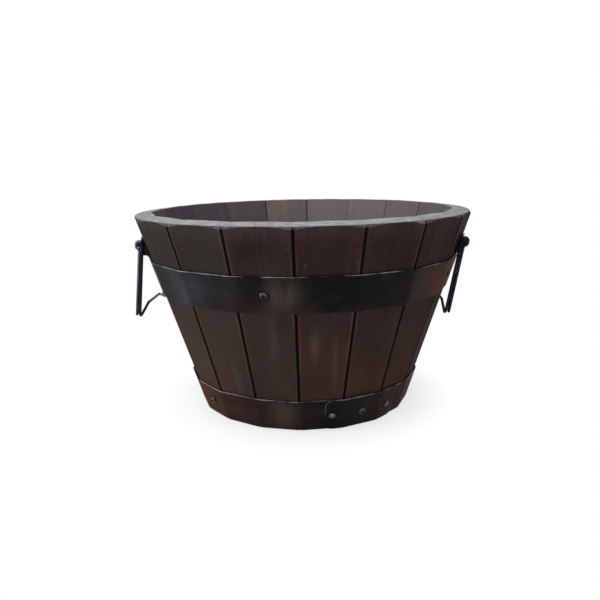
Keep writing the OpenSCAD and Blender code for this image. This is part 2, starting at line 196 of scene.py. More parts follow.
def ripple(u, v, seed, waves=6, gain=1.8):
    """Smooth noise from -1 to 1: a mean of sines, raised by gain, whose directions, pitches
    and phases are drawn from seed."""
    u, v = np.broadcast_arrays(u, v)
    rng = np.random.default_rng(seed)
    heading = rng.uniform(0, 2 * math.pi, waves)
    pitch = rng.uniform(0.6, 1.8, waves)
    phase = rng.uniform(0, 2 * math.pi, waves)
    a = pitch * np.cos(heading)
    b = pitch * np.sin(heading)
    total = np.sin(np.multiply.outer(u, a) + np.multiply.outer(v, b) + phase)
    return np.clip(total.mean(axis=-1) * gain, -1, 1)


def bell(x, centre, reach):
    """A hump of 1 at the centre: e to the minus square of the distance over the reach."""
    return np.exp(-(((x - centre) / reach) ** 2))


def ramp(x, start, stop):
    """An even climb from 0 at start to 1 at stop, flat on either side."""
    return np.clip((x - start) / (stop - start), 0, 1)


def bell_marks(marks, kind, u, v, turn=math.inf):
    """Strongest of the bell-shaped marks of one kind at each u and v.

    A mark is its kind, centre and spread along u, place and reach along v, and strength.
    u comes round again after a turn."""
    mask = 0 * u + 0 * v
    for name, centre, spread, place, reach, strength in marks:
        if name == kind:
            away = np.abs(u - centre)
            away = np.minimum(away, np.abs(turn - away))
            mask = np.maximum(mask, strength * bell(away, 0, spread) * bell(v, place, reach))
    return mask


def rounded_loop(corners, radii, counts, arc=4, crowding=0.93):
    """Rows of a closed loop through corners: each corner is a quadratic curve of the given reach,
    and counts rows stand on the straight between one corner and the next, crowded to its ends.
    corners is (corner, column, 2). Returns the rows and, for each row, its corner number
    (a fraction on the straights)."""
    total = len(corners)
    ahead = np.roll(corners, -1, axis=0) - corners
    ahead /= np.linalg.norm(ahead, axis=2, keepdims=True) + 1e-12
    reach = np.asarray(radii, float).reshape(total, 1, 1)
    enter = corners - np.roll(ahead, 1, axis=0) * reach
    leave = corners + ahead * reach
    bend = np.linspace(0, 1, arc + 1)[:, None, None]
    rows, labels = [], []
    for i in range(total):
        if radii[i] > 0:
            curve = ((1 - bend) ** 2 * enter[i] + 2 * bend * (1 - bend) * corners[i]
                     + bend**2 * leave[i])
        else:
            curve = corners[i][None]
        rows.append(curve)
        labels.append(np.full(len(curve), float(i)))
        share = (np.arange(counts[i]) + 1.0)[:, None, None] / (counts[i] + 1)
        share = share - crowding * np.sin(2 * math.pi * share) / (2 * math.pi)
        rows.append(leave[i] * (1 - share) + enter[(i + 1) % total] * share)
        labels.append(i + share[:, 0, 0])
    return np.concatenate(rows), np.concatenate(labels)


def grid_faces(rows, cols, wrap_rows=False, wrap_cols=False, caps=()):
    """Quads between neighbours of a grid of vertices, with a polygon on each open side in caps."""
    index = np.arange(rows * cols).reshape(rows, cols)
    if wrap_rows:
        index = np.vstack([index, index[:1]])
    if wrap_cols:
        index = np.hstack([index, index[:, :1]])
    quads = np.stack([index[:-1, :-1], index[1:, :-1], index[1:, 1:], index[:-1, 1:]], axis=-1)
    sides = {
        "left": np.arange(rows)[::-1] * cols,
        "right": np.arange(rows) * cols + cols - 1,
        "low": np.arange(cols),
        "high": np.arange(cols)[::-1] + (rows - 1) * cols,
    }
    return quads.reshape(-1, 4).tolist() + [sides[name].tolist() for name in caps]


def signed_volume(points, faces):
    """Sixth of the sum of each triangle's triple product: negative if the faces point inwards."""
    corners = [face[:3] for face in faces]
    corners += [[face[0], face[2], face[3]] for face in faces if len(face) == 4]
    a, b, c = points[np.array(corners)].transpose(1, 0, 2)
    return float(np.einsum("ij,ij->i", a, np.cross(b, c)).sum()) / 6


def place_piece(name, mesh, material, sharp, body, nodes):
    """An object of a mesh in one material, smooth but for edges sharper than the given degrees,
    that rides on a CAD body in place of CAD nodes."""
    mesh.polygons.foreach_set("use_smooth", np.ones(len(mesh.polygons), bool))
    mesh.set_sharp_from_angle(angle=math.radians(sharp))
    mesh.materials.clear()
    mesh.materials.append(material)
    piece = bpy.data.objects.new(name, mesh)
    bpy.context.scene.collection.objects.link(piece)
    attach(piece, body)
    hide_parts(*nodes)
    return piece


def make_piece(name, points, faces, material, body, nodes, masks, uv=None, sharp=35):
    """A piece from vertices and faces, turned to face outwards, with its masks as point
    attributes and uv, where it has one, as its grain map."""
    grid = np.shape(points)[:-1]
    points = np.reshape(points, (-1, 3))
    if signed_volume(points, faces) < 0:
        faces = [face[::-1] for face in faces]
    mesh = bpy.data.meshes.new(name)
    mesh.from_pydata(points.tolist(), [], faces)
    for key, values in masks.items():
        layer = mesh.attributes.new(key, "FLOAT", "POINT")
        layer.data.foreach_set("value", np.broadcast_to(values, grid).astype(np.float32).ravel())
    if uv is not None:
        corner = np.zeros(len(mesh.loops), np.int32)
        mesh.loops.foreach_get("vertex_index", corner)
        layer = mesh.uv_layers.new(name="grain")
        layer.data.foreach_set("uv", np.asarray(uv, np.float32).reshape(-1, 2)[corner].ravel())
    if mesh.validate():
        raise RuntimeError(f"{name}'s mesh had faces that Blender had to mend")
    place_piece(name, mesh, material, sharp, body, nodes)


def turned(points, azimuth):
    """Points turned about the tub's axis."""
    c, s = math.cos(azimuth), math.sin(azimuth)
    return points @ np.array([[c, s, 0], [-s, c, 0], [0, 0, 1]])


# ---------- staves ----------

# Chips out of the rim's outer edge: stave, where across it (-1 to 1), reach along the edge,
# depth (0 to 1).
CHIPS = {
    "stave_16": [(0.84, 0.0065, 0.9)],
    "stave_13": [(-0.92, 0.004, 0.5)],
    "stave_05": [(0.30, 0.008, 0.8)],
    "stave_09": [(-0.70, 0.006, 0.8)],
}
CHIP_SPREAD = 0.0032
CHIP_DEPTH, CHIP_DROP = 0.0007, 0.0006

# Each stave's finish, in order: inside, how pale it is, how warm, and how dark the joint after it;
# outside, its tone from olive (-1) to red (1), and how dark its stain is. The paleness is partly
# painted light: high on the inner right wall, which faces the light, and low on the inner left
# wall, which is painted in shade. The dark stain is partly painted shade, highest on the staves at
# the right.
STAVES = np.array([
    (0.45, 0.10, 0.60, 0.6, 0.8), (0.42, 0.05, 0.80, -0.6, 0.2), (0.72, 0.05, 0.60, 0.5, 0.0),
    (0.92, 0.20, 0.35, -0.2, 0.3), (1.00, 0.10, 1.00, 0.8, 0.1), (0.70, 1.00, 1.00, -0.7, 0.0),
    (0.14, 0.15, 0.30, 0.1, 0.2), (0.04, 0.10, 0.30, 0.6, 0.0), (0.02, 0.20, 0.50, -0.4, 0.1),
    (0.20, 0.10, 0.40, 0.3, 0.2), (0.30, 0.60, 0.80, -0.9, 0.0), (0.45, 0.10, 0.30, -1.0, 0.0),
    (0.60, 0.20, 0.60, -0.8, 0.0), (0.80, 0.10, 0.90, -0.2, 0.0), (0.35, 0.70, 0.40, 0.6, 0.0),
    (0.70, 0.10, 0.50, 0.4, 0.1), (0.90, 0.20, 0.80, 0.9, 0.3), (0.55, 0.10, 0.30, 1.0, 0.9),
])

# Marks on the staves' faces: kind, place and spread across (-1 to 1), height and reach, strength.
STAVE_MARKS = {
    "stave_04": [("dusty", 0.20, 0.35, 0.120, 0.030, 0.6)],
    "stave_08": [
        ("smudge", 0.10, 0.40, 0.215, 0.016, 0.6), ("dusty", -0.40, 0.20, 0.080, 0.030, 0.5),
    ],
    "stave_13": [("dusty", 0.10, 0.25, 0.064, 0.022, 0.4)],
    "stave_14": [
        ("smudge", -0.22, 0.32, 0.226, 0.013, 1.0), ("dusty", 0.05, 0.30, 0.110, 0.030, 0.20),
    ],
    "stave_15": [
        ("dusty", -0.38, 0.22, 0.112, 0.018, 0.50), ("dusty", 0.40, 0.16, 0.092, 0.026, 0.42),
    ],
    "stave_17": [("dusty", 0.00, 0.30, 0.220, 0.020, 0.3)],
}

# A stave's section: reach of each rounded corner, from the outside of the foot up and round,
# and the number of rows on the straight after it. The corners that other code names come first.
SECTION_CORNERS = [0.0006, 0.00025, 0.0005, 0.0009, 0, 0, 0, 0, 0.0004]
SECTION_ROWS = [88, 3, 9, 40, 2, 3, 2, 4, 5]
FOOT, FACE_TOP, RIM_OUT, RIM_IN, BASE_TOP = range(5)

BORDER = 0.085  # share of the half width, along each edge, whose columns stand closer
BORDER_COLUMNS, FACE_COLUMNS = 9, 31
SOFT_BEVEL = 0.0003  # how softly the edge bevel runs out on the face
BEVEL_WANDER = 0.2  # share of its width by which it wanders
RIM_TRIM, RIM_WANDER = 0.00035, 0.0003  # how far in the turned bevel is cut, and its mean wander
PLANE_MARKS, CUPPING = 0.00011, 0.00018  # mean depths of the plane's marks and of a face's cupping
INNER_SHARE = 0.6  # share of both on the inner face
FADE = 0.01  # height over which they fade out at foot and rim
LONG_EDGE_WEAR, FOOT_WEAR = 0.0011, 0.006  # reach of the wear in from the long edges and the foot
# The paler line just inside the edge bevel is wear together with a painted highlight on that edge.
ARRIS_AT, ARRIS_REACH = 0.0024, 0.0006  # the rubbed line just inside the edge bevel
JOINT_SHADE = 0.00242, 0.00132  # from the edge, where the joint's shade starts and is full
SEAM_SHADE = 0.00136, 0.00056  # the same on the inner face


def stave_surface(tub, number):
    """A stave as a grid: round its section from foot to rim and down the inside (rows),
    and across its width (columns).

    The outer face is the leaning plane x = flat(z), drawn in by a bevel along both edges.
    The turned rim is two cones, met where flat(z) times the secant of the bearing equals
    the cone's radius. The inner face is the outer one less the wall, with the base's groove
    cut in. Across, y runs between two planes through the axis, since damp wood closes the joints.
    Each ripple's seed is the stave's number times a prime, plus a number of its own; all
    chips share one."""
    s = tub.s
    border = np.linspace(0, 1, BORDER_COLUMNS) ** 1.4 * BORDER
    face = np.linspace(BORDER - 1, 1 - BORDER, FACE_COLUMNS)[1:-1]
    across = np.concatenate([border - 1, face, 1 - border[::-1]])
    side = math.tan(tub.half)
    half_width = tub.flat(s.height) * side

    def edge_bevel(width, z):
        """How far the outer face draws in: the bevel's width less the distance to the edge, times
        its slope, softened where it reaches zero."""
        bevel = s.bevel * (1 + BEVEL_WANDER * ripple(z * 60, 0, number * 5 + 2))
        room = bevel - (1 - np.abs(across)) * width
        return 0.5 * (room + np.sqrt(room**2 + SOFT_BEVEL**2)) * s.bevel_depth / s.bevel

    secant = np.sqrt(1 + (across * side) ** 2)
    cot = 1 / math.tan(s.rim_bevel_angle)
    bevel_r = tub.bevel_r - RIM_TRIM - RIM_WANDER * (1 + ripple(across * 3.0, 0, number * 7 + 1))
    bevel_z = tub.rim_z(bevel_r)
    face0 = tub.flat(0) - edge_bevel(half_width, s.height)
    slope = tub.growth * math.cos(tub.half)
    meet_z = (bevel_r + bevel_z * cot - face0 * secant) / (slope * secant + cot)
    fall = math.tan(s.rim_fall)
    inner0 = (tub.flat(0) - tub.wall) * secant
    inner_z = (s.height + tub.rim_r * fall - inner0 * fall) / (1 + slope * secant * fall)
    floor_top = s.base_z + s.base_t + s.play
    floor_low = s.base_z - s.play
    groove_x = (tub.base_r + s.play) / secant

    def at(x, z):
        """One corner of the section at every column."""
        return np.stack(np.broadcast_arrays(x, z, across)[:2], axis=-1)

    def inside_at(z):
        return at(tub.flat(z) - tub.wall, z)

    corners = np.stack([
        at(tub.flat(0) - edge_bevel(tub.flat(0) * side, 0), 0),
        at(face0 + slope * meet_z, meet_z),
        at(bevel_r / secant, bevel_z),
        inside_at(inner_z),
        inside_at(floor_top),
        at(groove_x, floor_top),
        at(groove_x, floor_low),
        inside_at(floor_low),
        inside_at(0),
    ])
    loop, label = rounded_loop(corners, SECTION_CORNERS, SECTION_ROWS)
    x, z = loop[..., 0], loop[..., 1]
    along = np.broadcast_to(label[:, None], x.shape)
    outer = (along > FOOT) & (along < FACE_TOP)
    inner = (along > RIM_IN) & (along < BASE_TOP)
    uneven = PLANE_MARKS * (1 + ripple(across * 9, z * 16, number * 11 + 3))
    uneven = uneven + CUPPING * (1 + ripple(across * 2, z * 7, number * 13 + 4))
    fade = ramp(z, 0, FADE) * ramp(z, s.height, s.height - FADE)
    x = x - outer * fade * uneven + inner * fade * INNER_SHARE * uneven
    nick = np.zeros_like(x)
    for where, reach, depth in CHIPS.get(f"stave_{number + 1:02d}", []):
        edge_x, edge_z = (corners[FACE_TOP] + corners[RIM_OUT]).T / 2
        near = bell(across * half_width, where * half_width, reach)
        near = near * bell(x, edge_x, CHIP_SPREAD) * bell(z, edge_z, CHIP_SPREAD)
        nick = np.maximum(nick, depth * near * (0.75 + 0.25 * ripple(across * 20, along * 3, 77)))
    x = x - CHIP_DEPTH * nick
    z = z - CHIP_DROP * nick * (along > FACE_TOP)
    return across, along, np.stack([x, across * x * side, z], axis=-1), nick


def stave_masks(across, along, points, nick, number):
    """Point attributes of a stave: where it is cut, inside, marked, worn or chipped, from 0 to 1,
    and its own tone. Distances are in metres from the stave's edge or from the floor."""
    z = points[..., 2]
    outside = along < FACE_TOP
    inside = along > RIM_IN
    from_edge = (1 - np.abs(across)) * np.abs(points[..., 1]).max(axis=1, keepdims=True)
    patchy = 0.5 + 0.5 * ripple(across * 4, z * 45, number * 17 + 5)
    long_edge = np.exp(-from_edge / LONG_EDGE_WEAR) * (0.25 + 0.75 * patchy)
    long_edge = long_edge * (along < FACE_TOP + 0.2)
    rim_edge = (bell(along, FACE_TOP, 0.05) + bell(along, RIM_OUT, 0.10)) * (0.4 + 0.6 * patchy)
    inner_edge = 0.7 * bell(along, RIM_IN, 0.02)
    foot = 0.5 * np.exp(-z / FOOT_WEAR) * outside
    rubbed = np.clip(1.6 * patchy - 0.3, 0, 1)
    pale, warm, after, tone, deep = STAVES[number % len(STAVES)]
    before = STAVES[number % len(STAVES) - 1][2]
    marks = STAVE_MARKS.get(f"stave_{number + 1:02d}", [])
    return {
        "cut": (along >= RIM_OUT - 0.05) & (along <= RIM_IN),
        "lip": (along > FACE_TOP) & (along < RIM_OUT - 0.05),
        "inside": inside,
        "joint": ramp(from_edge, *JOINT_SHADE) * (along <= FACE_TOP + 0.05),
        "seam": np.where(across > 0, after, before) * ramp(from_edge, *SEAM_SHADE) * inside,
        "side": np.abs(across) ** 3,
        # Wear and a painted highlight where the edge bevel meets the face.
        "arris_wear_and_highlight": outside * rubbed * bell(from_edge, ARRIS_AT, ARRIS_REACH),
        "wear": np.clip(long_edge + rim_edge + inner_edge + foot, 0, 1),
        # Painted highlight along the rim's inner edge, broken up by the patchiness.
        "rim_edge_highlight": bell(along, RIM_IN, 0.010) * np.clip(1.5 * patchy - 0.5, 0, 0.8),
        "chip": np.clip(nick, 0, 1),
        "dusty": bell_marks(marks, "dusty", across, z) * outside,
        "smudge": bell_marks(marks, "smudge", across, z) * outside,
        "pale": pale, "warm": warm, "tone": tone, "deep": deep,
    }


class PLANTER_OT_staves(bpy.types.Operator):
    """Builds every stave as one closed surface with its grain running up it"""

    bl_idname = "planter.staves"
    bl_label = "Staves"

    def execute(self, context):
        tub = Tub(context.scene.planter_tub)
        wood = stave_wood(context.scene.planter_finishes)
        rng = np.random.default_rng(3)
        inner_shift = 3.0  # up the grain map, so that the two faces differ
        for number in range(tub.s.staves):
            across, along, points, nick = stave_surface(tub, number)
            masks = stave_masks(across, along, points, nick, number)
            shift = rng.uniform(0, 9, 2)
            climb = points[..., 2] / math.cos(tub.lean) + inner_shift * (along > RIM_IN)
            grain = np.stack([points[..., 1] + shift[0], climb + shift[1]], axis=-1)
            name = f"stave_{number + 1:02d}"
            make_piece(
                f"{name}_wood", turned(points, number * tub.step),
                grid_faces(*along.shape, wrap_rows=True, caps=("left", "right")),
                wood, "barrel", [name], masks, grain,
            )
        return {"FINISHED"}


# ---------- base ----------

BOARD_ROUNDING = 0.0008


def softened_copy(name, node, material, reach):
    """A merged copy of a CAD node on the barrel, with its hard edges rounded to the given reach."""
    mesh = frame["nodes"][node].data.copy()
    mesh.name = name
    shell = bmesh.new()
    shell.from_mesh(mesh)
    bmesh.ops.remove_doubles(shell, verts=shell.verts, dist=1e-6)
    bmesh.ops.dissolve_limit(
        shell, angle_limit=math.radians(1), verts=shell.verts, edges=shell.edges)
    shell.to_mesh(mesh)
    shell.free()
    piece = place_piece(name, mesh, material, 30, "barrel", [node])
    bevel = piece.modifiers.new("rounded edges", "BEVEL")
    bevel.width = reach
    bevel.segments = 3
    bevel.limit_method = "ANGLE"
    bevel.angle_limit = math.radians(35)
    bevel.harden_normals = True


class PLANTER_OT_base(bpy.types.Operator):
    """Builds the base boards with rounded arrises and drain holes"""

    bl_idname = "planter.base"
    bl_label = "Base boards"

    def execute(self, context):
        wood = base_wood(context.scene.planter_finishes)
        for node in sorted(n for n in frame["nodes"] if n.startswith("base_board")):
            softened_copy(f"{node}_wood", node, wood, BOARD_ROUNDING)
        return {"FINISHED"}


# ---------- hoops ----------

# Stains on the hoops, and a painted sheen in the upper hoop's grey mark: kind, bearing and
# spread in degrees, place and reach up the band, strength.
HOOP_STAINS = {
    "upper": [
        ("olive", 266, 5.5, 0.5, 0.45, 0.9), ("grey", 230, 11, 0.55, 0.8, 0.6),
        ("rust", 334, 15, 0.45, 0.8, 1.0), ("rust", 262, 9, 0.0, 0.25, 0.3),
        ("olive", 40, 16, 0.6, 0.5, 0.6), ("rust", 120, 14, 0.2, 0.5, 0.5),
        ("olive", 249, 7, 0.5, 0.7, 0.2),
    ],
    "lower": [
        ("rust", 205, 24, 0.5, 0.9, 1.0), ("rust", 242, 20, 0.4, 0.6, 0.4),
        ("olive", 262, 7, 0.5, 0.6, 0.9), ("rust", 332, 20, 0.4, 0.8, 0.6),
        ("olive", 300, 5, 0.6, 0.5, 0.25), ("rust", 90, 18, 0.2, 0.5, 0.5),
        ("grey", 60, 16, 0.5, 0.6, 0.4),
    ],
}

# Which staves each hoop is screwed to, counted from 0, and which of them its lap is centred on.
HOOP_SCREWS = {"upper": (3, 8, 13, 17), "lower": (1, 5, 8, 11, 15)}
HOOP_LAP = {"upper": 3, "lower": 15}
HOOP_SEED = {"upper": 21, "lower": 31}

RIVET_TURN = math.radians(15)  # bearing of a lap's two rivets from its screw
LAP_TRIM = math.radians(0.5)  # what each end of a lap gives up of its angle
JOGGLE_START = math.radians(0.7)  # how far past the lap the step in under it starts
JOGGLE_RUN = math.radians(2.6)
LAYER_GAP = 0.0001  # between the two layers of a lap
UNDER_HEAD = 0.00005  # between a band and the heads seated on it
BEND_GAP = 0.00005  # between a stave joint and the bend over it
TIP_COLUMNS, BAND_COLUMNS = 14, 940
BAND_ARRIS = 0.0007  # reach of the rounded edges of the band's section
RAGGED_LOW, RAGGED_TOP = 0.00030, 0.00035  # mean wander of the band's edges
DENTS = 0.00009  # mean depth of the dents in its outside
SOFT_BEND = 0.0006  # how softly it turns over a stave joint
EDGE_WEAR, END_WEAR = 0.0009, 0.0012  # reach of the wear in from the band's edges and ends


def hoop_surface(tub, hoops, name, low, height):
    """A hoop as a grid: round its rounded section (rows), along the band from its outer end
    to its inner one (columns).

    The band's radius at a bearing is the lesser of the leaning planes' and of the cone that
    rounds the bends. Its stand-off falls by one thickness where the joggle steps it in under
    its own outer end, and the outer end's corners are quarter circles."""
    seed = HOOP_SEED[name]
    middle_r = tub.corner(low + height / 2)
    lap_centre = HOOP_LAP[name] * tub.step
    half_lap = hoops.lap / 2 - LAP_TRIM
    start, stop = lap_centre - half_lap, lap_centre + half_lap + 2 * math.pi
    tip = hoops.corner / middle_r
    theta = np.concatenate([
        start + tip * (1 - np.cos(np.linspace(0, math.pi / 2, TIP_COLUMNS)[:-1])),
        np.linspace(start + tip, stop, BAND_COLUMNS),
    ])
    run = (theta - start) * middle_r
    to_go = np.clip(hoops.corner - run, 0, None)
    inset = hoops.corner - np.sqrt(hoops.corner**2 - to_go**2)
    bottom = low + inset + RAGGED_LOW * (1 + ripple(theta * 7, 0, seed))
    top = low + height - inset - RAGGED_TOP * (1 + ripple(theta * 9, 0, seed + 1))
    step_in = lap_centre + half_lap + JOGGLE_START
    joggle = ramp(theta, step_in, step_in + JOGGLE_RUN)
    joggle = joggle**2 * (3 - 2 * joggle)
    layer = hoops.stand_off + (hoops.thickness + LAYER_GAP) * (1 - joggle)
    box = np.array([(0, 1), (1, 1), (1, 0), (0, 0)], float)[:, None] * [height, hoops.thickness]
    section, _ = rounded_loop(box, [BAND_ARRIS] * 4, [12, 1, 6, 1], arc=3)
    share, depth = section[:, 0, :1] / height, section[:, 0, 1:]
    z = bottom + share * (top - bottom)
    off = layer + depth
    from_face = (theta + tub.half) % tub.step - tub.half
    plane = (tub.flat(z) + off / math.cos(tub.lean)) / np.cos(from_face)
    cone = tub.corner(z) + off - hoops.stand_off + BEND_GAP
    radius = 0.5 * (plane + cone - np.sqrt((plane - cone) ** 2 + SOFT_BEND**2)) + SOFT_BEND / 4
    dent = DENTS * (1 + ripple(theta * 14, z * 90, seed + 2))
    radius = radius - dent * (depth > hoops.thickness * 0.5)
    points = np.stack([radius * np.cos(theta), radius * np.sin(theta), z], axis=-1)
    from_edge = np.minimum(share, 1 - share) * height
    from_end = np.minimum(run, run[::-1])
    worn = np.exp(-from_edge / EDGE_WEAR) + 0.45 * np.exp(-from_end / END_WEAR)
    masks = {"edge": np.clip(worn, 0, 1) * (depth > hoops.thickness * 0.2), "height": share}
    for kind in ("olive", "grey", "rust"):
        masks[kind] = bell_marks(HOOP_STAINS[name], kind, np.degrees(theta) % 360, share, 360)
    return points, masks


def hoop_bands(hoops):
    """Each hoop's name, the height of its lower edge and its depth."""
    return ("upper", hoops.upper_z, hoops.upper_h), ("lower", hoops.lower_z, hoops.lower_h)


def hoop_seats(tub, hoops):
    """Where each hoop's screws and rivets sit: on the lap, one thickness farther out."""
    face = hoops.stand_off + hoops.thickness + UNDER_HEAD
    lap_face = face + hoops.thickness + LAYER_GAP
    seats = {}
    for name, low, height in hoop_bands(hoops):
        z, lap = low + height / 2, HOOP_LAP[name]
        screws = [tub.on_face(k * tub.step, z, lap_face if k == lap else face)
                  for k in HOOP_SCREWS[name]]
        beside = round(RIVET_TURN / tub.step)
        over = RIVET_TURN - beside * tub.step
        rivets = [tub.on_face((lap + way * beside) * tub.step, z, lap_face, way * over)
                  for way in (-1, 1)]
        seats[name] = (screws, rivets)
    return seats


class PLANTER_OT_hoops(bpy.types.Operator):
    """Builds the two lapped hoops"""

    bl_idname = "planter.hoops"
    bl_label = "Hoops"

    def execute(self, context):
        tub = Tub(context.scene.planter_tub)
        hoops = context.scene.planter_hoops
        seats = [tuple(seat.to_translation())
                 for pair in hoop_seats(tub, hoops).values() for kind in pair for seat in kind]
        paint = hoop_paint(context.scene.planter_finishes, seats)
        for name, low, height in hoop_bands(hoops):
            points, masks = hoop_surface(tub, hoops, name, low, height)
            faces = grid_faces(*points.shape[:2], wrap_rows=True, caps=("left", "right"))
            node = f"{name}_hoop"
            make_piece(
                f"{node}_band", points, faces, paint, "barrel", [node], masks, sharp=50)
        return {"FINISHED"}


# ---------- fasteners ----------

SHANK_R, SHANK_REACH = 0.002, 0.014  # of every screw and rivet
RECESS_R, RECESS_DEPTH = 0.00175, 0.0016  # of every screw's hexagonal recess
SCREW_H, RIVET_H, PLATE_SCREW_H = 0.0028, 0.0024, 0.0022  # heights of the heads
PLATE_T = 0.0025  # thickness of the handle plates
PLATE_SEAT = PLATE_T + 0.0001  # how far off the stave their screws' heads sit
LUG_CLEAR = 0.0005  # between a handle's eye and the lug beside it
LUG_TO_SCREW = 0.009  # across the plate, from the lug to its screws
PLATE_SCREW_Z = (0.0075, 0.0205)  # up the plate, from the top of the upper hoop
# Shares of a head's radius, where each mask starts and is full.
CROWN_FADE, SOCKET_FADE = (0.93, 0.75), (0.50, 0.40)


def dome_profile(head_d, head_h, recess):
    """Radius, height and hexagon share of each ring down a fastener: recess floor and wall, dome,
    rim, underside, shank. The dome is the arc through the crown and the rim, and steps of less
    than half a millimetre soften the edges."""
    dome_r = ((head_d / 2) ** 2 + head_h**2) / (2 * head_h)
    lip = head_d / 2 - 0.0002
    inner = RECESS_R if recess else 0.0
    r = np.concatenate([[inner + 0.00015], np.linspace(inner + 0.0003, lip, 14)])
    dome = np.stack([r, head_h - dome_r + np.sqrt(dome_r**2 - r**2), 0 * r], axis=1)
    top = [(0, head_h, 0)]
    if recess:
        floor = head_h - RECESS_DEPTH
        dome[0, 2] = 0.85
        top = [(0, floor - 0.0004, 0), (inner * 0.55, floor, 0.6),
               (inner * 0.98, floor + 0.0001, 1), (inner, dome[0, 1] - 0.00025, 1)]
    tail = [(lip + 0.0001, 0.00022, 0), (lip, 0.00002, 0), (SHANK_R, 0.00001, 0),
            (SHANK_R, 0.0008 - SHANK_REACH, 0), (SHANK_R * 0.6, -SHANK_REACH, 0),
            (0, -SHANK_REACH, 0)]
    return np.concatenate([top, dome, tail]).T


def fastener_set(places, profile, sides=48):
    """Copies of one turned shape at several places, as one mesh.

    A ring's radius is the profile's, drawn in to a hexagon by its hexagon share: the
    hexagon's radius at a bearing is cos 30 over the cosine of the bearing from its flat.
    The crown carries wear and a painted highlight, strongest on its upper side; the socket holds
    the recess and a ring round it, where shade is painted."""
    r, z, hexed = profile
    bearing = np.linspace(0, 2 * math.pi, sides, endpoint=False)
    from_flat = (bearing % (math.pi / 3)) - math.pi / 6
    ring = r[:, None] * (1 - hexed[:, None] * (1 - math.cos(math.pi / 6) / np.cos(from_flat)))
    rings = [ring * np.cos(bearing), ring * np.sin(bearing), z[:, None] + 0 * ring]
    rings = np.stack(rings, axis=-1)[1:-1].reshape(-1, 3)
    local = np.concatenate([rings, [[0, 0, z[0]], [0, 0, z[-1]]]])
    rows = len(r) - 2
    top, foot, last = rows * sides, rows * sides + 1, (rows - 1) * sides
    one = grid_faces(rows, sides, wrap_cols=True)
    one += [[top, i, (i + 1) % sides] for i in range(sides)]
    one += [[foot, last + (i + 1) % sides, last + i] for i in range(sides)]
    faces = [[v + k * len(local) for v in face] for k in range(len(places)) for face in one]
    matrices = np.array([np.array(m) for m in places])
    placed = np.einsum("nij,vj->nvi", matrices[:, :3, :3], local) + matrices[:, None, :3, 3]
    out = np.append(np.repeat(r[1:-1], sides), [0, 0]) / r.max()
    high = (placed[..., 2] - matrices[:, None, 2, 3]) / r.max()
    sunk = np.append(np.repeat(hexed[1:-1], sides), [hexed[1], 0]) > 0.3
    masks = {
        # The crown's painted highlight is strongest on the upper side; the socket is where shade is
        # painted.
        "crown": ramp(out, *CROWN_FADE) * (out > 0) * np.clip(0.55 + 0.8 * high, 0.12, 1),
        "socket": np.maximum(sunk, ramp(out, *SOCKET_FADE) * hexed.any()),
    }
    return placed, faces, masks


class PLANTER_OT_fasteners(bpy.types.Operator):
    """Builds the screws and rivets of the hoops and plates"""

    bl_idname = "planter.fasteners"
    bl_label = "Screws and rivets"

    def execute(self, context):
        scene = context.scene
        tub = Tub(scene.planter_tub)
        hoops = scene.planter_hoops
        # The tints are painted highlights: grey on the screws, and sky blue on the rivets as a
        # painted reflection.
        screw_paint_and_painted_light = head_paint_and_painted_light(scene.planter_finishes, "screw_paint_and_painted_light", 0.45, (0.13, 0.125, 0.125))
        rivet_paint_and_painted_light = head_paint_and_painted_light(scene.planter_finishes, "rivet_paint_and_painted_light", 0.70, (0.21, 0.22, 0.33))
        rng = np.random.default_rng(8)

        def fasten(node, places, profile, paint):
            points, faces, masks = fastener_set(places, profile)
            make_piece(f"{node[:-1]}_heads", points, faces, paint, "barrel", [node], masks)

        def spun(places):
            """The places, each turned by chance about its own axis."""
            return [
                place @ Matrix.Rotation(rng.uniform(0, 2 * math.pi), 4, "Z") for place in places]

        screw = dome_profile(hoops.screw_d, SCREW_H, True)
        rivet = dome_profile(hoops.rivet_d, RIVET_H, False)
        for name, (screws, rivets) in hoop_seats(tub, hoops).items():
            fasten(f"{name}_hoop_screws", spun(screws), screw, screw_paint_and_painted_light)
            fasten(f"{name}_lap_rivets", spun(rivets), rivet, rivet_paint_and_painted_light)
        places = plate_screw_places(tub, hoops, scene.planter_handles)
        plate_screw = dome_profile(hoops.plate_screw_d, PLATE_SCREW_H, True)
        fasten("bracket_screws", places, plate_screw, screw_paint_and_painted_light)
        return {"FINISHED"}


def plate_screw_places(tub, hoops, handles):
    """Where the plates' screws sit: two up each plate, on the staves either side of the X axis."""
    lug_y = handles.width / 2 - handles.wire / 2 - LUG_CLEAR - PLATE_T / 2
    wall_x = (tub.flat(PIVOT[2]) - lug_y * math.sin(tub.step)) / math.cos(tub.step)
    lug_u = lug_y * math.cos(tub.step) - (wall_x + PLATE_T) * math.sin(tub.step)
    foot_z = hoops.upper_z + hoops.upper_h
    plate = Matrix.Rotation(tub.step, 4, "Z")
    plate @= Matrix.Translation((tub.flat(foot_z), lug_u - LUG_TO_SCREW, foot_z))
    plate @= Matrix.Rotation(tub.lean, 4, "Y")
    places = []
    for up in PLATE_SCREW_Z:
        seat = plate @ Matrix.Translation((PLATE_SEAT, 0, up))
        seat @= Matrix.Rotation(math.pi / 2, 4, "Y")
        for sx in (-1, 1):
            for sy in (-1, 1):
                mirror = Matrix.Diagonal((sx, sy, 1, 1))
                flip = Matrix.Diagonal((1, sx * sy, 1, 1))
                places.append(mirror @ seat @ flip)
    return places


# ---------- brackets ----------

PLATE_ROUNDING, PIN_ROUNDING = 0.00045, 0.0003


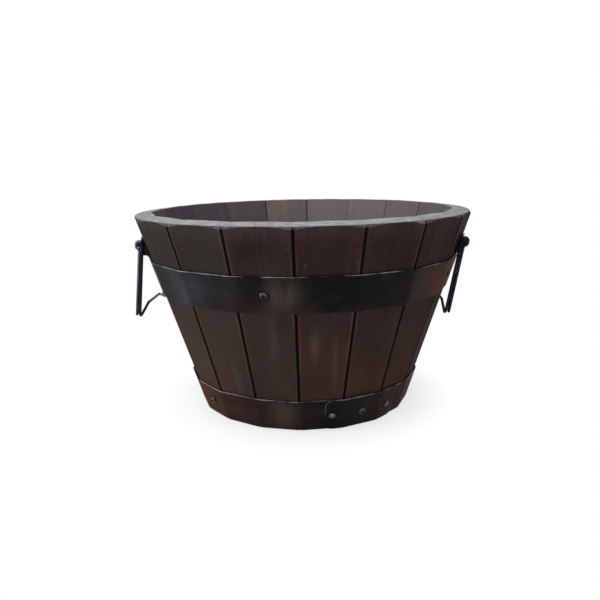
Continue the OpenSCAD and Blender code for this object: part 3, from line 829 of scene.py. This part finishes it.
class PLANTER_OT_brackets(bpy.types.Operator):
    """Builds the handle plates and pivot pins with rounded edges"""

    bl_idname = "planter.brackets"
    bl_label = "Handle brackets"

    def execute(self, context):
        paint = handle_paint(context.scene.planter_finishes)
        for node in sorted(n for n in frame["nodes"] if n.endswith("_bracket")):
            softened_copy(f"{node}_plate", node, paint, PLATE_ROUNDING)
        for node in ("left_pivot_pins", "right_pivot_pins"):
            softened_copy(f"{node}_steel", node, paint, PIN_ROUNDING)
        return {"FINISHED"}


# ---------- handles ----------

EYE_PLAY = 0.0003  # of an eye on its pin, which is as thick as the wire
LEG_GAP = 0.0001  # between the two strands of a doubled leg
JOG_R = 0.004  # radius of the jog that brings the second strand beside the leg
END_LIFT = 0.0025  # height of the wire's cut end above the lowest wire
EYE_RISE = 0.002  # straight wire between the jog and the eye
CORNER_R, GRIP_R, GRIP_SLOPE = 0.006, 0.015, math.radians(18)  # bends and slope of the grip
RING_STEP, RING_TURN = 0.004, 5  # spacing of rings along a straight, and in degrees round a bend
RING_SIDES = 24
GRIP_WEAR, GRIP_WEAR_REACH = 0.12, 0.006  # strength, and reach up and down from the grip
# STRAND_X and RUB_CLIMB place the painted highlight, with some rubbing, on the outward strand.
STRAND_X = -0.0024, -0.0014  # across the leg, where the rubbing starts and is full
RUB_CLIMB = 0.06  # height above the lowest wire at which it is full


def turn_about(vectors, axis, angles):
    """Rodrigues' rotation of one vector by an array of angles about a unit axis."""
    c, s = np.cos(angles)[:, None], np.sin(angles)[:, None]
    return vectors * c + np.cross(axis, vectors) * s + axis * (axis @ vectors) * (1 - c)


def wire_centre(handles):
    """Centre line and section axes of half a handle, from the wire's end to the middle of the grip.

    Each stretch is a straight, or an arc of a radius through an angle towards a roll, laid end
    to end. An arc's points are its start, plus the radius times sin a along it and 1 - cos a
    towards the roll."""
    eye_r = handles.wire + EYE_PLAY
    shift = 2 * eye_r - handles.wire - LEG_GAP
    jog = math.acos(1 - shift / (2 * JOG_R))
    low_end = END_LIFT - handles.drop
    slope, quarter = GRIP_SLOPE, math.pi / 2
    climb = (handles.rise - (CORNER_R + GRIP_R) * (1 - math.cos(slope))) / math.sin(slope)
    grip_half = (handles.width / 2 - CORNER_R * (1 + math.sin(slope)) - climb * math.cos(slope)
                 - GRIP_R * math.sin(slope))
    stretches = [
        (-EYE_RISE - 2 * JOG_R * math.sin(jog) - low_end,),
        (JOG_R, jog, 0), (JOG_R, jog, math.pi),
        (EYE_RISE,), (eye_r, math.pi, math.pi),
        (handles.drop - CORNER_R,),
        (CORNER_R, quarter + slope, quarter), (climb,),
        (GRIP_R, slope, -quarter), (grip_half,),
    ]
    place = np.array([eye_r - shift, -handles.width / 2, low_end])
    axes = np.eye(3)
    centre, across, beside = [place[None]], [axes[:1]], [axes[1:2]]
    for stretch in stretches:
        if len(stretch) == 1:
            share = np.linspace(0, 1, max(2, int(stretch[0] / RING_STEP)))[1:, None]
            centre.append(place + share * stretch[0] * axes[2])
            across.append(np.repeat(axes[:1], len(share), 0))
            beside.append(np.repeat(axes[1:2], len(share), 0))
        else:
            radius, bend, roll = stretch
            towards = axes[0] * math.cos(roll) + axes[1] * math.sin(roll)
            pole = np.cross(axes[2], towards)
            a = np.linspace(0, bend, max(4, int(math.degrees(bend) / RING_TURN)))[1:]
            arc = np.sin(a)[:, None] * axes[2] + (1 - np.cos(a))[:, None] * towards
            centre.append(place + radius * arc)
            across.append(turn_about(axes[0], pole, a))
            beside.append(turn_about(axes[1], pole, a))
            axes = np.stack([across[-1][-1], beside[-1][-1], turn_about(axes[2], pole, a)[-1]])
        place = centre[-1][-1]
    return np.concatenate(centre), np.concatenate(across), np.concatenate(beside)


def handle_surface(handles, side, lean, rub_and_highlight):
    """A handle as a tube: rings round the wire (columns) carried along its centre line (rows).

    The wire's cut end is closed by rings that shrink as a quarter circle, and the second
    half is the first mirrored across the middle and run backwards. The outward strand gets
    a painted highlight with some rubbing, less so low down, and the grip is worn."""
    centre, across, beside = wire_centre(handles)
    radius = handles.wire / 2
    cap = np.radians([12, 35, 60, 80])
    nose = centre[0] - np.array([0, 0, 1]) * (radius * np.cos(cap))[:, None]
    size = np.concatenate([radius * np.sin(cap), np.full(len(centre), radius)])
    centre = np.concatenate([nose, centre])
    across, beside = (np.concatenate([axis[:1]] * len(cap) + [axis]) for axis in (across, beside))
    bearing = np.linspace(0, 2 * math.pi, RING_SIDES, endpoint=False)
    ring = across[:, None] * np.cos(bearing)[:, None] + beside[:, None] * np.sin(bearing)[:, None]
    half = centre[:, None] + size[:, None, None] * ring
    whole = np.concatenate([half, half[-2::-1] * [1, -1, 1]])
    x, y, z = np.moveaxis(whole, -1, 0)
    outward = np.concatenate([ring[..., 0], ring[-2::-1, :, 0]])
    # Painted highlight, with some rubbing: on the outward side of the outer strand, fading low
    # down.
    rubbed = np.clip(1.1 + 1.6 * outward, 0, 1) * ramp(x, *STRAND_X)
    rubbed = rubbed * np.clip((z + handles.drop) / RUB_CLIMB, 0.1, 1)
    worn = GRIP_WEAR * bell(z, handles.rise - handles.drop, GRIP_WEAR_REACH)
    c, s = math.cos(lean), math.sin(lean)
    placed = np.stack([(x * c - z * s + PIVOT[0]) * side, y, x * s + z * c + PIVOT[2]], axis=-1)
    return placed, {"edge": worn, "rub_and_highlight": rubbed * rub_and_highlight}


class PLANTER_OT_handles(bpy.types.Operator):
    """Builds the two drop handles of bent wire"""

    bl_idname = "planter.handles"
    bl_label = "Drop handles"

    def execute(self, context):
        handles = context.scene.planter_handles
        paint = handle_paint(context.scene.planter_finishes)
        right_lean = handles.right_stand - Tub(context.scene.planter_tub).lean
        # The last number is the strength of the strand's painted highlight: strong on the left
        # handle, which faces the light, faint on the right.
        for node, side, lean, rub_and_highlight in (("left_handle", -1, handles.left_lean, 0.9),
                                      ("right_handle", 1, right_lean, 0.12)):
            points, masks = handle_surface(handles, side, lean, rub_and_highlight)
            faces = grid_faces(*points.shape[:2], wrap_cols=True, caps=("low", "high"))
            make_piece(
                f"{node}_wire", points, faces, paint, node, [node], masks, sharp=60)
        return {"FINISHED"}


# ---------- finishes ----------

# Below, s is the material under construction and p the patterns of stave wood.


def rgba(value):
    """A colour with alpha, or the socket as it is."""
    return value if isinstance(value, bpy.types.NodeSocket) else (*value[:3], 1.0)


class Nodes:
    """A node tree under construction, with short calls for the nodes that feed it."""

    def __init__(self, tree):
        self.tree = tree

    def first(self, kind):
        return next(n for n in self.tree.nodes if n.type == kind)

    def node(self, kind, inputs=None, **settings):
        """A new shader node with its settings, its inputs linked or set."""
        made = self.tree.nodes.new("ShaderNode" + kind)
        for key, value in settings.items():
            setattr(made, key, value)
        for key, value in (inputs or {}).items():
            self.feed(made.inputs[key], value)
        return made

    def feed(self, socket, value):
        if isinstance(value, bpy.types.NodeSocket):
            self.tree.links.new(value, socket)
        else:
            socket.default_value = value

    def math(self, operation, a, b=0.0):
        return self.node("Math", {0: a, 1: b}, operation=operation).outputs[0]

    def times(self, a, b):
        return self.math("MULTIPLY", a, b)

    def fit(self, value, low, high, to_low=0.0, to_high=1.0):
        """Maps low..high to to_low..to_high, clamped."""
        sockets = {
            "Value": value, "From Min": low, "From Max": high, "To Min": to_low, "To Max": to_high}
        return self.node("MapRange", sockets).outputs[0]

    def seen(self):
        """1 for the rays of the eye and of reflections, which see white, and 0 for light."""
        ray = self.node("LightPath").outputs
        mirrored = self.math("MAXIMUM", ray["Is Glossy Ray"], ray["Is Transmission Ray"])
        return self.math("MAXIMUM", ray["Is Camera Ray"], mirrored)


class Shader(Nodes):
    """A material under construction: a Principled surface and what feeds it."""

    def __init__(self, name):
        self.material = bpy.data.materials.new(name)
        self.material.use_nodes = True
        super().__init__(self.material.node_tree)
        self.surface = self.first("BSDF_PRINCIPLED")

    def mask(self, name):
        return self.node("Attribute", attribute_name=name).outputs["Fac"]

    def broken(self, name, pattern, low, high, least=0.0, most=1.0):
        """A mask broken up by a pattern, whose low..high becomes least..most."""
        return self.times(self.mask(name), self.fit(pattern, low, high, least, most))

    def mix(self, share, a, b):
        made = self.node("Mix", data_type="RGBA")
        self.feed(made.inputs["Factor"], share)
        self.feed(made.inputs[6], rgba(a))
        self.feed(made.inputs[7], rgba(b))
        return made.outputs[2]

    def layers(self, base, rows):
        """Lays each row's colour over the base in turn. A row is a share and a colour,
        or a pattern, its low and high, the shares that these become, and a colour."""
        for *share, tint in rows:
            base = self.mix(self.fit(*share) if len(share) > 1 else share[0], base, tint)
        return base

    def place(self, source="object", stretch=(1, 1, 1), offset=(0, 0, 0)):
        """Object coordinates or the grain map, stretched and shifted."""
        if source == "grain":
            vector = self.node("UVMap", uv_map="grain").outputs[0]
        else:
            vector = self.node("TexCoord").outputs["Object"]
        sockets = {"Vector": vector, "Scale": stretch, "Location": offset}
        return self.node("Mapping", sockets).outputs[0]

    def noise(self, stretch, detail=3.0, rough=0.55, warp=0.0, source="object", offset=(0, 0, 0)):
        sockets = {"Vector": self.place(source, stretch, offset), "Scale": 1.0, "Detail": detail,
                   "Roughness": rough, "Distortion": warp}
        return self.node("TexNoise", sockets).outputs["Fac"]

    def grain(self, stretch, detail=3.0, rough=0.55, warp=0.0, offset=(0, 0, 0)):
        return self.noise(stretch, detail, rough, warp, "grain", offset)

    def bumps(self, *rows):
        """Normals raised by each row in turn: a height, its strength and its distance."""
        normal = None
        for height, strength, distance in rows:
            made = self.node("Bump", {"Height": height, "Strength": strength, "Distance": distance})
            if normal is not None:
                self.feed(made.inputs["Normal"], normal)
            normal = made.outputs[0]
        return normal

    def finish(self, **sockets):
        """Feeds the surface's sockets, named with _ for a space."""
        for key, value in sockets.items():
            self.feed(self.surface.inputs[key.replace("_", " ")], value)
        return self.material


def wood_patterns(s):
    """The patterns of stave wood: along the grain map, in the round, and the place itself."""
    x, _, z = s.node("SeparateXYZ", {0: s.place()}).outputs
    fibre = s.grain((1100, 22, 1), 4, 0.62)
    streak = s.grain((260, 4.0, 1), 3, 0.5, 0.5)
    return SimpleNamespace(
        x=x, z=z, fibre=fibre, streak=streak,
        figure=s.math("ADD", s.times(streak, 0.5), s.times(fibre, 0.5)),
        broad=s.grain((42, 3.0, 1), 2, warp=1.0),
        blotch=s.noise((14, 14, 10), 4, 0.6),
        cloud=s.noise((19, 19, 6), 3, 0.5, 0.5, offset=(4, 1, 2)),
        ring=s.noise((90, 90, 90), 4, 0.65),
    )


def outer_stain(s, p, finishes):
    """The staves' outside: dark stain, clouded, streaked and toned from stave to stave, marked,
    with a painted warm floor bounce low down, worn along the edges and dark in the joints."""
    speck = s.noise((330, 330, 240), 2)
    scratch = s.grain((700, 42, 1), 2, 0.4, offset=(3, 7, 0))
    tone = s.mask("tone")
    olive = s.times(s.fit(p.blotch, 0.46, 0.66, 0, 0.65), s.fit(tone, 1, -1, 0.3, 1.0))
    # Painted reflected light: a warm brown bounce from the floor, strongest near it and towards the
    # sides.
    painted_bounce = s.times(s.fit(p.z, 0.185, 0.02), s.fit(p.blotch, 0.34, 0.58, 0.35, 1.0))
    from_middle = s.math("ABSOLUTE", s.math("ADD", p.x, 0.015))
    painted_bounce = s.times(painted_bounce, s.fit(from_middle, 0.03, 0.17, 0.45, 1.0))
    stain = s.mix(s.fit(p.figure, 0.34, 0.68, 0.25, 0.78), finishes.stain_dark, finishes.stain)
    return s.layers(stain, [
        (p.cloud, 0.48, 0.70, 0, 0.60, (0.031, 0.0200, 0.0175)),
        (p.streak, 0.58, 0.76, 0, 0.26, (0.042, 0.0285, 0.0250)),
        (p.broad, 0.48, 0.72, 0, 0.30, (0.022, 0.0125, 0.0110)),
        (olive, (0.0145, 0.0140, 0.0118)),
        (tone, 0, 1, 0, 0.60, (0.0245, 0.0105, 0.0105)),
        (tone, 0, -1, 0, 0.65, (0.0225, 0.0205, 0.0165)),
        (s.mask("side"), 0.25, 1.0, 0, 0.45, (0.027, 0.0135, 0.0115)),
        (speck, 0.56, 0.72, 0, 0.36, (0.040, 0.033, 0.030)),
        (scratch, 0.72, 0.78, 0, 0.5, (0.070, 0.060, 0.055)),
        (s.broken("dusty", p.streak, 0.40, 0.62, 0.15), (0.082, 0.060, 0.052)),
        (s.broken("smudge", p.blotch, 0.36, 0.56, 0.45), (0.0070, 0.0058, 0.0062)),
        (painted_bounce, (0.060, 0.0310, 0.0205)),
        (s.times(s.broken("wear", p.fibre, 0.35, 0.62, 0.25), 0.7), finishes.stain_worn),
        # Wear with a painted highlight: an orange-brown line where the edge bevel meets the face.
        (s.broken("arris_wear_and_highlight", p.fibre, 0.35, 0.6, 0.4, 0.9), (0.078, 0.043, 0.029)),
        # Stain with painted shade: the staves at the right, away from the light, are painted
        # darkest.
        (s.times(s.mask("deep"), 0.7), (0.0105, 0.0055, 0.0052)),
        (s.times(s.mask("joint"), 0.9), (0.0030, 0.0018, 0.0018)),
    ])


def inner_wood(s, p, finishes):
    """The staves' inside: grey wood, with painted light on the right wall and painted shade on the
    left, rusty in places below the rim, with dark grain and seams.
    """
    # Painted light and shade: the paleness makes the inner right wall light and the inner left wall
    # dark.
    wood = s.mix(s.mask("pale"), finishes.inner_dark, finishes.inner_wood)
    rust = s.times(s.broken("warm", p.blotch, 0.42, 0.60), s.fit(p.z, 0.215, 0.250, 0.25, 0.9))
    wood = s.mix(rust, wood, (0.165, 0.105, 0.072))
    for pattern, low, high, most, depth, tint in (
        (p.figure, 0.62, 0.36, 0.26, 0.55, (0.010, 0.008, 0.010)),
        (p.cloud, 0.48, 0.70, 0.30, 0.4, (0.020, 0.014, 0.014)),
    ):
        wood = s.mix(s.fit(pattern, low, high, 0, most), wood, s.mix(depth, wood, tint))
    return s.layers(wood, [
        (p.broad, 0.50, 0.72, 0, 0.25, (0.130, 0.118, 0.112)),
        (s.times(s.mask("seam"), 0.9), (0.010, 0.006, 0.006)),
    ])


def rim_wood(s, p, finishes):
    """The turned rim: weathered end grain with saw marks and pale pores, dull towards the sides,
    and a painted highlight along its inner edge.
    """
    pores = s.noise((600, 600, 600), 3, 0.7)
    saw = s.grain((48, 4600, 1), 3, 0.6)
    wood = s.mix(s.fit(p.ring, 0.34, 0.56, 0.20, 1.0), finishes.end_dark, finishes.end_wood)
    return s.layers(wood, [
        (saw, 0.40, 0.58, 0.75, 0, (0.092, 0.083, 0.082)),
        (pores, 0.46, 0.66, 0, 0.55, (0.320, 0.318, 0.325)),
        (s.mask("wear"), 0.45, 1.0, 0, 0.30, (0.090, 0.078, 0.074)),
        (s.math("ABSOLUTE", p.x), 0.12, 0.20, 0, 0.30, finishes.end_dark),
        # Painted highlight: pale grey along the inner edge of the rim.
        (s.mask("rim_edge_highlight"), (0.38, 0.38, 0.39)),
    ])


def stave_wood(finishes):
    """Stained wood whose grain runs up each stave, weathered grey inside and on the turned rim."""
    s = Shader("stave_wood")
    p = wood_patterns(s)
    lip = s.mix(s.fit(p.fibre, 0.40, 0.62), (0.034, 0.031, 0.040), (0.088, 0.084, 0.104))
    wood = s.layers(outer_stain(s, p, finishes), [
        (s.mask("inside"), inner_wood(s, p, finishes)),
        (s.mask("lip"), lip),
        (s.mask("cut"), rim_wood(s, p, finishes)),
        (s.fit(s.mask("chip"), 0.25, 0.75), finishes.raw_wood),
    ])
    normal = s.bumps((p.fibre, 0.26, 0.0004), (p.streak, 0.18, 0.0008),
                     (s.times(p.ring, s.mask("cut")), 0.25, 0.0008))
    return s.finish(Base_Color=wood, Roughness=s.fit(p.figure, 0.3, 0.7, 0.88, 0.66), Normal=normal,
                    Specular_IOR_Level=0.035)


def base_wood(finishes):
    """Weathered boards with the grain along Y."""
    s = Shader("base_wood")
    fibre = s.noise((800, 14, 800), 4, 0.6)
    streak = s.noise((120, 3, 60), 3, warp=0.6)
    board = s.noise((15.6, 0.2, 0.2), 0)
    figure = s.math("ADD", s.times(streak, 0.6), s.times(fibre, 0.4))
    wood = s.mix(s.fit(figure, 0.34, 0.62), finishes.inner_dark, finishes.inner_wood)
    wood = s.mix(s.fit(board, 0.35, 0.65, 0, 0.4), wood, (0.130, 0.098, 0.080))
    return s.finish(Base_Color=wood, Roughness=s.fit(figure, 0.3, 0.7, 0.85, 0.65),
                    Normal=s.bumps((fibre, 0.3, 0.0004), (streak, 0.3, 0.0010)),
                    Specular_IOR_Level=0.08)


def hoop_paint(finishes, seats):
    """Thin satin black paint with brown bloom and stains, a painted sheen on the upper hoop's left,
    painted shade round the screws and rivets, and rubbed to steel along the edges, most on the
    upper edge as a painted highlight."""
    s = Shader("hoop_paint")
    cloud = s.noise((9, 9, 16), 4, 0.6, 0.4)
    bloom = s.noise((26, 26, 38), 5, 0.65)
    grit = s.noise((520, 520, 520), 3, 0.7)
    smear = s.noise((70, 70, 9), 4, 0.6)
    near = None
    for seat in seats:
        away = s.node("VectorMath", {0: s.place(), 1: seat}, operation="DISTANCE").outputs["Value"]
        near = away if near is None else s.math("MINIMUM", near, away)
    rusty = s.broken("rust", bloom, 0.34, 0.56, 0.5)
    # Painted highlight: the rub to bare steel is four times as strong along the upper edge, which
    # faces the light, as along the lower.
    upper_edge_highlight = s.fit(s.mask("height"), 0.3, 0.7, 0.25, 1.0)
    rub_and_highlight = s.times(s.broken("edge", bloom, 0.40, 0.60, 0.20), upper_edge_highlight)
    bare = s.fit(rub_and_highlight, 0.22, 0.70, 0, 0.78)
    paint = s.layers(finishes.hoop, [
        (cloud, 0.45, 0.70, 0, 0.45, (0.0110, 0.0105, 0.0108)),
        (bloom, 0.52, 0.74, 0, 0.40, finishes.hoop_brown),
        (s.broken("olive", smear, 0.34, 0.56, 0.45), (0.041, 0.034, 0.0275)),
        # Painted sheen: on the upper hoop's left, the grey mark lightens the paint as a reflection
        # would.
        (s.broken("grey", smear, 0.34, 0.56, 0.45), (0.036, 0.034, 0.042)),
        (rusty, (0.074, 0.0275, 0.0150)),
        # Painted shade: the band darkens in a ring just outside each screw and rivet head.
        (near, 0.0078, 0.0056, 0, 0.85, (0.0022, 0.0018, 0.0018)),
        (bare, finishes.steel),
    ])
    rough = s.math("ADD", s.fit(cloud, 0.3, 0.7, 0.34, 0.52), s.times(rusty, 0.45))
    return s.finish(Base_Color=paint, Roughness=rough, Metallic=s.times(bare, 0.7),
                    Normal=s.bumps((grit, 0.10, 0.0003), (bloom, 0.10, 0.0012)),
                    Specular_IOR_Level=0.035)


def head_paint_and_painted_light(finishes, name, bareness, tint):
    """Black paint on a fastener's head: painted highlight and wear on its crown's upper side,
    painted shade in the socket, round the rim and low down.
    """
    s = Shader(name)
    grit = s.noise((700, 700, 700))
    patch = s.noise((260, 260, 260))
    solid = s.math("SUBTRACT", 1.0, s.mask("socket"))
    rub_and_highlight = s.times(s.broken("crown", patch, 0.34, 0.58, 0.35), solid)
    bare = s.times(rub_and_highlight, bareness)
    paint = s.layers(finishes.hoop, [
        (patch, 0.4, 0.65, 0, 0.5, finishes.hoop_brown),
        # Painted highlight, with some wear, on the crown's upper side.
        (bare, tint),
        # Painted shade in the socket.
        (s.mask("socket"), (0.002, 0.002, 0.002)),
        # Painted shade round the rim and on the lower side of the head.
        (s.fit(s.mask("crown"), 0.5, 0.0), (0.003, 0.0025, 0.0025)),
    ])
    return s.finish(Base_Color=paint, Roughness=s.fit(patch, 0.3, 0.7, 0.26, 0.40), Metallic=bare,
                    Normal=s.bumps((grit, 0.12, 0.0003)), Specular_IOR_Level=0.2)


def handle_paint(finishes):
    """Satin black paint on bent wire and plates, with faint wear and grime, and a painted bluish
    highlight on the handles' outward strands.
    """
    s = Shader("handle_paint")
    grit = s.noise((600, 600, 600))
    patch = s.noise((90, 90, 60), 4, 0.6)
    paint = s.layers(finishes.handle, [
        (patch, 0.45, 0.7, 0, 0.5, (0.010, 0.0085, 0.0080)),
        (s.broken("edge", patch, 0.4, 0.6), (0.09, 0.09, 0.10)),
        # Painted highlight: bluish grey on the outward strands, as a reflection of the sky.
        (s.broken("rub_and_highlight", patch, 0.34, 0.56, 0.55), (0.150, 0.175, 0.232)),
    ])
    return s.finish(Base_Color=paint, Roughness=s.fit(patch, 0.3, 0.7, 0.24, 0.36),
                    Normal=s.bumps((grit, 0.10, 0.0003)), Specular_IOR_Level=0.12,
                    Specular_Tint=(0.62, 0.78, 1.0, 1))


# ---------- stage ----------

WHITE = (1, 1, 1, 1)
FLOOR_REACH = 6.0


def floor_material():
    """Pale floor that keeps the planter's shadow near it, turns to plain white for the eye
    farther out, and stays unlit under the tub."""
    s = Shader("pale_floor")
    s.finish(Base_Color=(0.92, 0.92, 0.92, 1), Roughness=0.9, Specular_IOR_Level=0.1)
    white = s.node("Emission", {"Color": WHITE, "Strength": 1.0}).outputs[0]
    away = s.node("VectorMath", {0: s.place()}, operation="LENGTH").outputs["Value"]
    reach = s.times(s.fit(away, 0.13, 0.20, 0.66, 1.0), s.fit(away, 0.112, 0.120))
    shares = {0: s.times(reach, s.seen()), 1: s.surface.outputs[0], 2: white}
    s.feed(s.first("OUTPUT_MATERIAL").inputs["Surface"], s.node("MixShader", shares).outputs[0])
    return s.material


def studio_world(strength):
    """White surroundings to the eye and in reflections, with soft light of the given strength."""
    world = bpy.data.worlds.new("studio")
    bpy.context.scene.world = world
    world.use_nodes = True
    nodes = Nodes(world.node_tree)
    back = nodes.first("BACKGROUND").inputs
    nodes.feed(back["Color"], WHITE)
    nodes.feed(back["Strength"], nodes.fit(nodes.seen(), 0.0, 1.0, strength, 1.0))


def look_matrix(direction, roll=0.0):
    """Rotation that points -Z along direction, its X level, then rolled clockwise by roll."""
    back = -np.array(direction, float) / np.linalg.norm(direction)
    right = np.cross([0, 0, 1.0], back)
    right /= np.linalg.norm(right)
    up = np.cross(back, right)
    c, s = math.cos(roll), math.sin(roll)
    right, up = c * right - s * up, s * right + c * up
    return Matrix(np.stack([right, up, back], axis=1).tolist()).to_4x4()


def soft_lamp(name, place, aim, size, power):
    """An area lamp of the given size that points at aim."""
    lamp = bpy.data.lights.new(name, "AREA")
    lamp.shape = "RECTANGLE"
    lamp.size, lamp.size_y = size
    lamp.energy = power
    body = bpy.data.objects.new(name, lamp)
    bpy.context.scene.collection.objects.link(body)
    body.matrix_world = Matrix.Translation(place) @ look_matrix(np.subtract(aim, place))


class PLANTER_OT_stage(bpy.types.Operator):
    """Sets the pale floor, the soft lights and the photographed viewpoint"""

    bl_idname = "planter.stage"
    bl_label = "Studio"

    world_light = 0.42
    aim = (0, 0, 0.12)
    # Each lamp's place, size and power.
    lamps = {
        "lamp_above": ((-0.30, 0.0, 1.7), (1.5, 1.3), 38),
        "lamp_left": ((-1.9, -0.35, 0.34), (0.6, 0.66), 11),
        "lamp_front": ((-0.2, -1.9, 0.8), (1.3, 1.1), 12),
    }
    camera_place = (0.03594, -0.82698, 0.3123)
    camera_turn = math.radians(2.8)
    camera_pitch = 0.2186
    camera_roll = 0.0179
    camera_lens = 37.40

    def execute(self, context):
        scene = context.scene
        mesh = bpy.data.meshes.new("floor")
        square = ((-1, -1), (1, -1), (1, 1), (-1, 1))
        corners = [(x * FLOOR_REACH, y * FLOOR_REACH, 0) for x, y in square]
        mesh.from_pydata(corners, [], [(0, 1, 2, 3)])
        mesh.materials.append(floor_material())
        floor = bpy.data.objects.new("floor", mesh)
        scene.collection.objects.link(floor)
        studio_world(self.world_light)
        for name, (place, size, power) in self.lamps.items():
            soft_lamp(name, place, self.aim, size, power)
        camera = bpy.data.cameras.new("photo_view")
        camera.lens = self.camera_lens
        camera.sensor_width = 36.0
        camera.clip_start = 0.05
        camera.clip_end = 40.0
        eye = bpy.data.objects.new("photo_view", camera)
        scene.collection.objects.link(eye)
        level, drop = math.cos(self.camera_pitch), math.sin(self.camera_pitch)
        view = (-math.sin(self.camera_turn) * level, math.cos(self.camera_turn) * level, -drop)
        turn = look_matrix(view, self.camera_roll)
        eye.matrix_world = Matrix.Translation(self.camera_place) @ turn
        scene.camera = eye
        scene.view_settings.view_transform = "Standard"
        return {"FINISHED"}


# ---------- add-on ----------


OPERATORS = (
    PLANTER_OT_staves,
    PLANTER_OT_base,
    PLANTER_OT_hoops,
    PLANTER_OT_fasteners,
    PLANTER_OT_brackets,
    PLANTER_OT_handles,
    PLANTER_OT_stage,
)
GROUPS = {
    "planter_tub": TubSizes,
    "planter_hoops": HoopSizes,
    "planter_handles": HandleSizes,
    "planter_finishes": Finishes,
}


class PLANTER_PT_panel(bpy.types.Panel):
    """Lists the planter's pieces and their sizes"""

    bl_label = "Barrel planter"
    bl_idname = "PLANTER_PT_panel"
    bl_space_type = "VIEW_3D"
    bl_region_type = "UI"
    bl_category = "Planter"

    def draw(self, context):
        for operator in OPERATORS:
            self.layout.operator(operator.bl_idname)
        for key in GROUPS:
            group = getattr(context.scene, key)
            box = self.layout.box()
            for name in group.__annotations__:
                box.prop(group, name)


CLASSES = (*GROUPS.values(), *OPERATORS, PLANTER_PT_panel)


def register():
    for item in CLASSES:
        bpy.utils.register_class(item)
    for key, group in GROUPS.items():
        setattr(bpy.types.Scene, key, PointerProperty(type=group))


def unregister():
    for key in GROUPS:
        delattr(bpy.types.Scene, key)
    for item in reversed(CLASSES):
        bpy.utils.unregister_class(item)


def main():
    register()
    for operator in OPERATORS:
        group, name = operator.bl_idname.split(".")
        getattr(getattr(bpy.ops, group), name)()


if __name__ == "__main__":
    main()
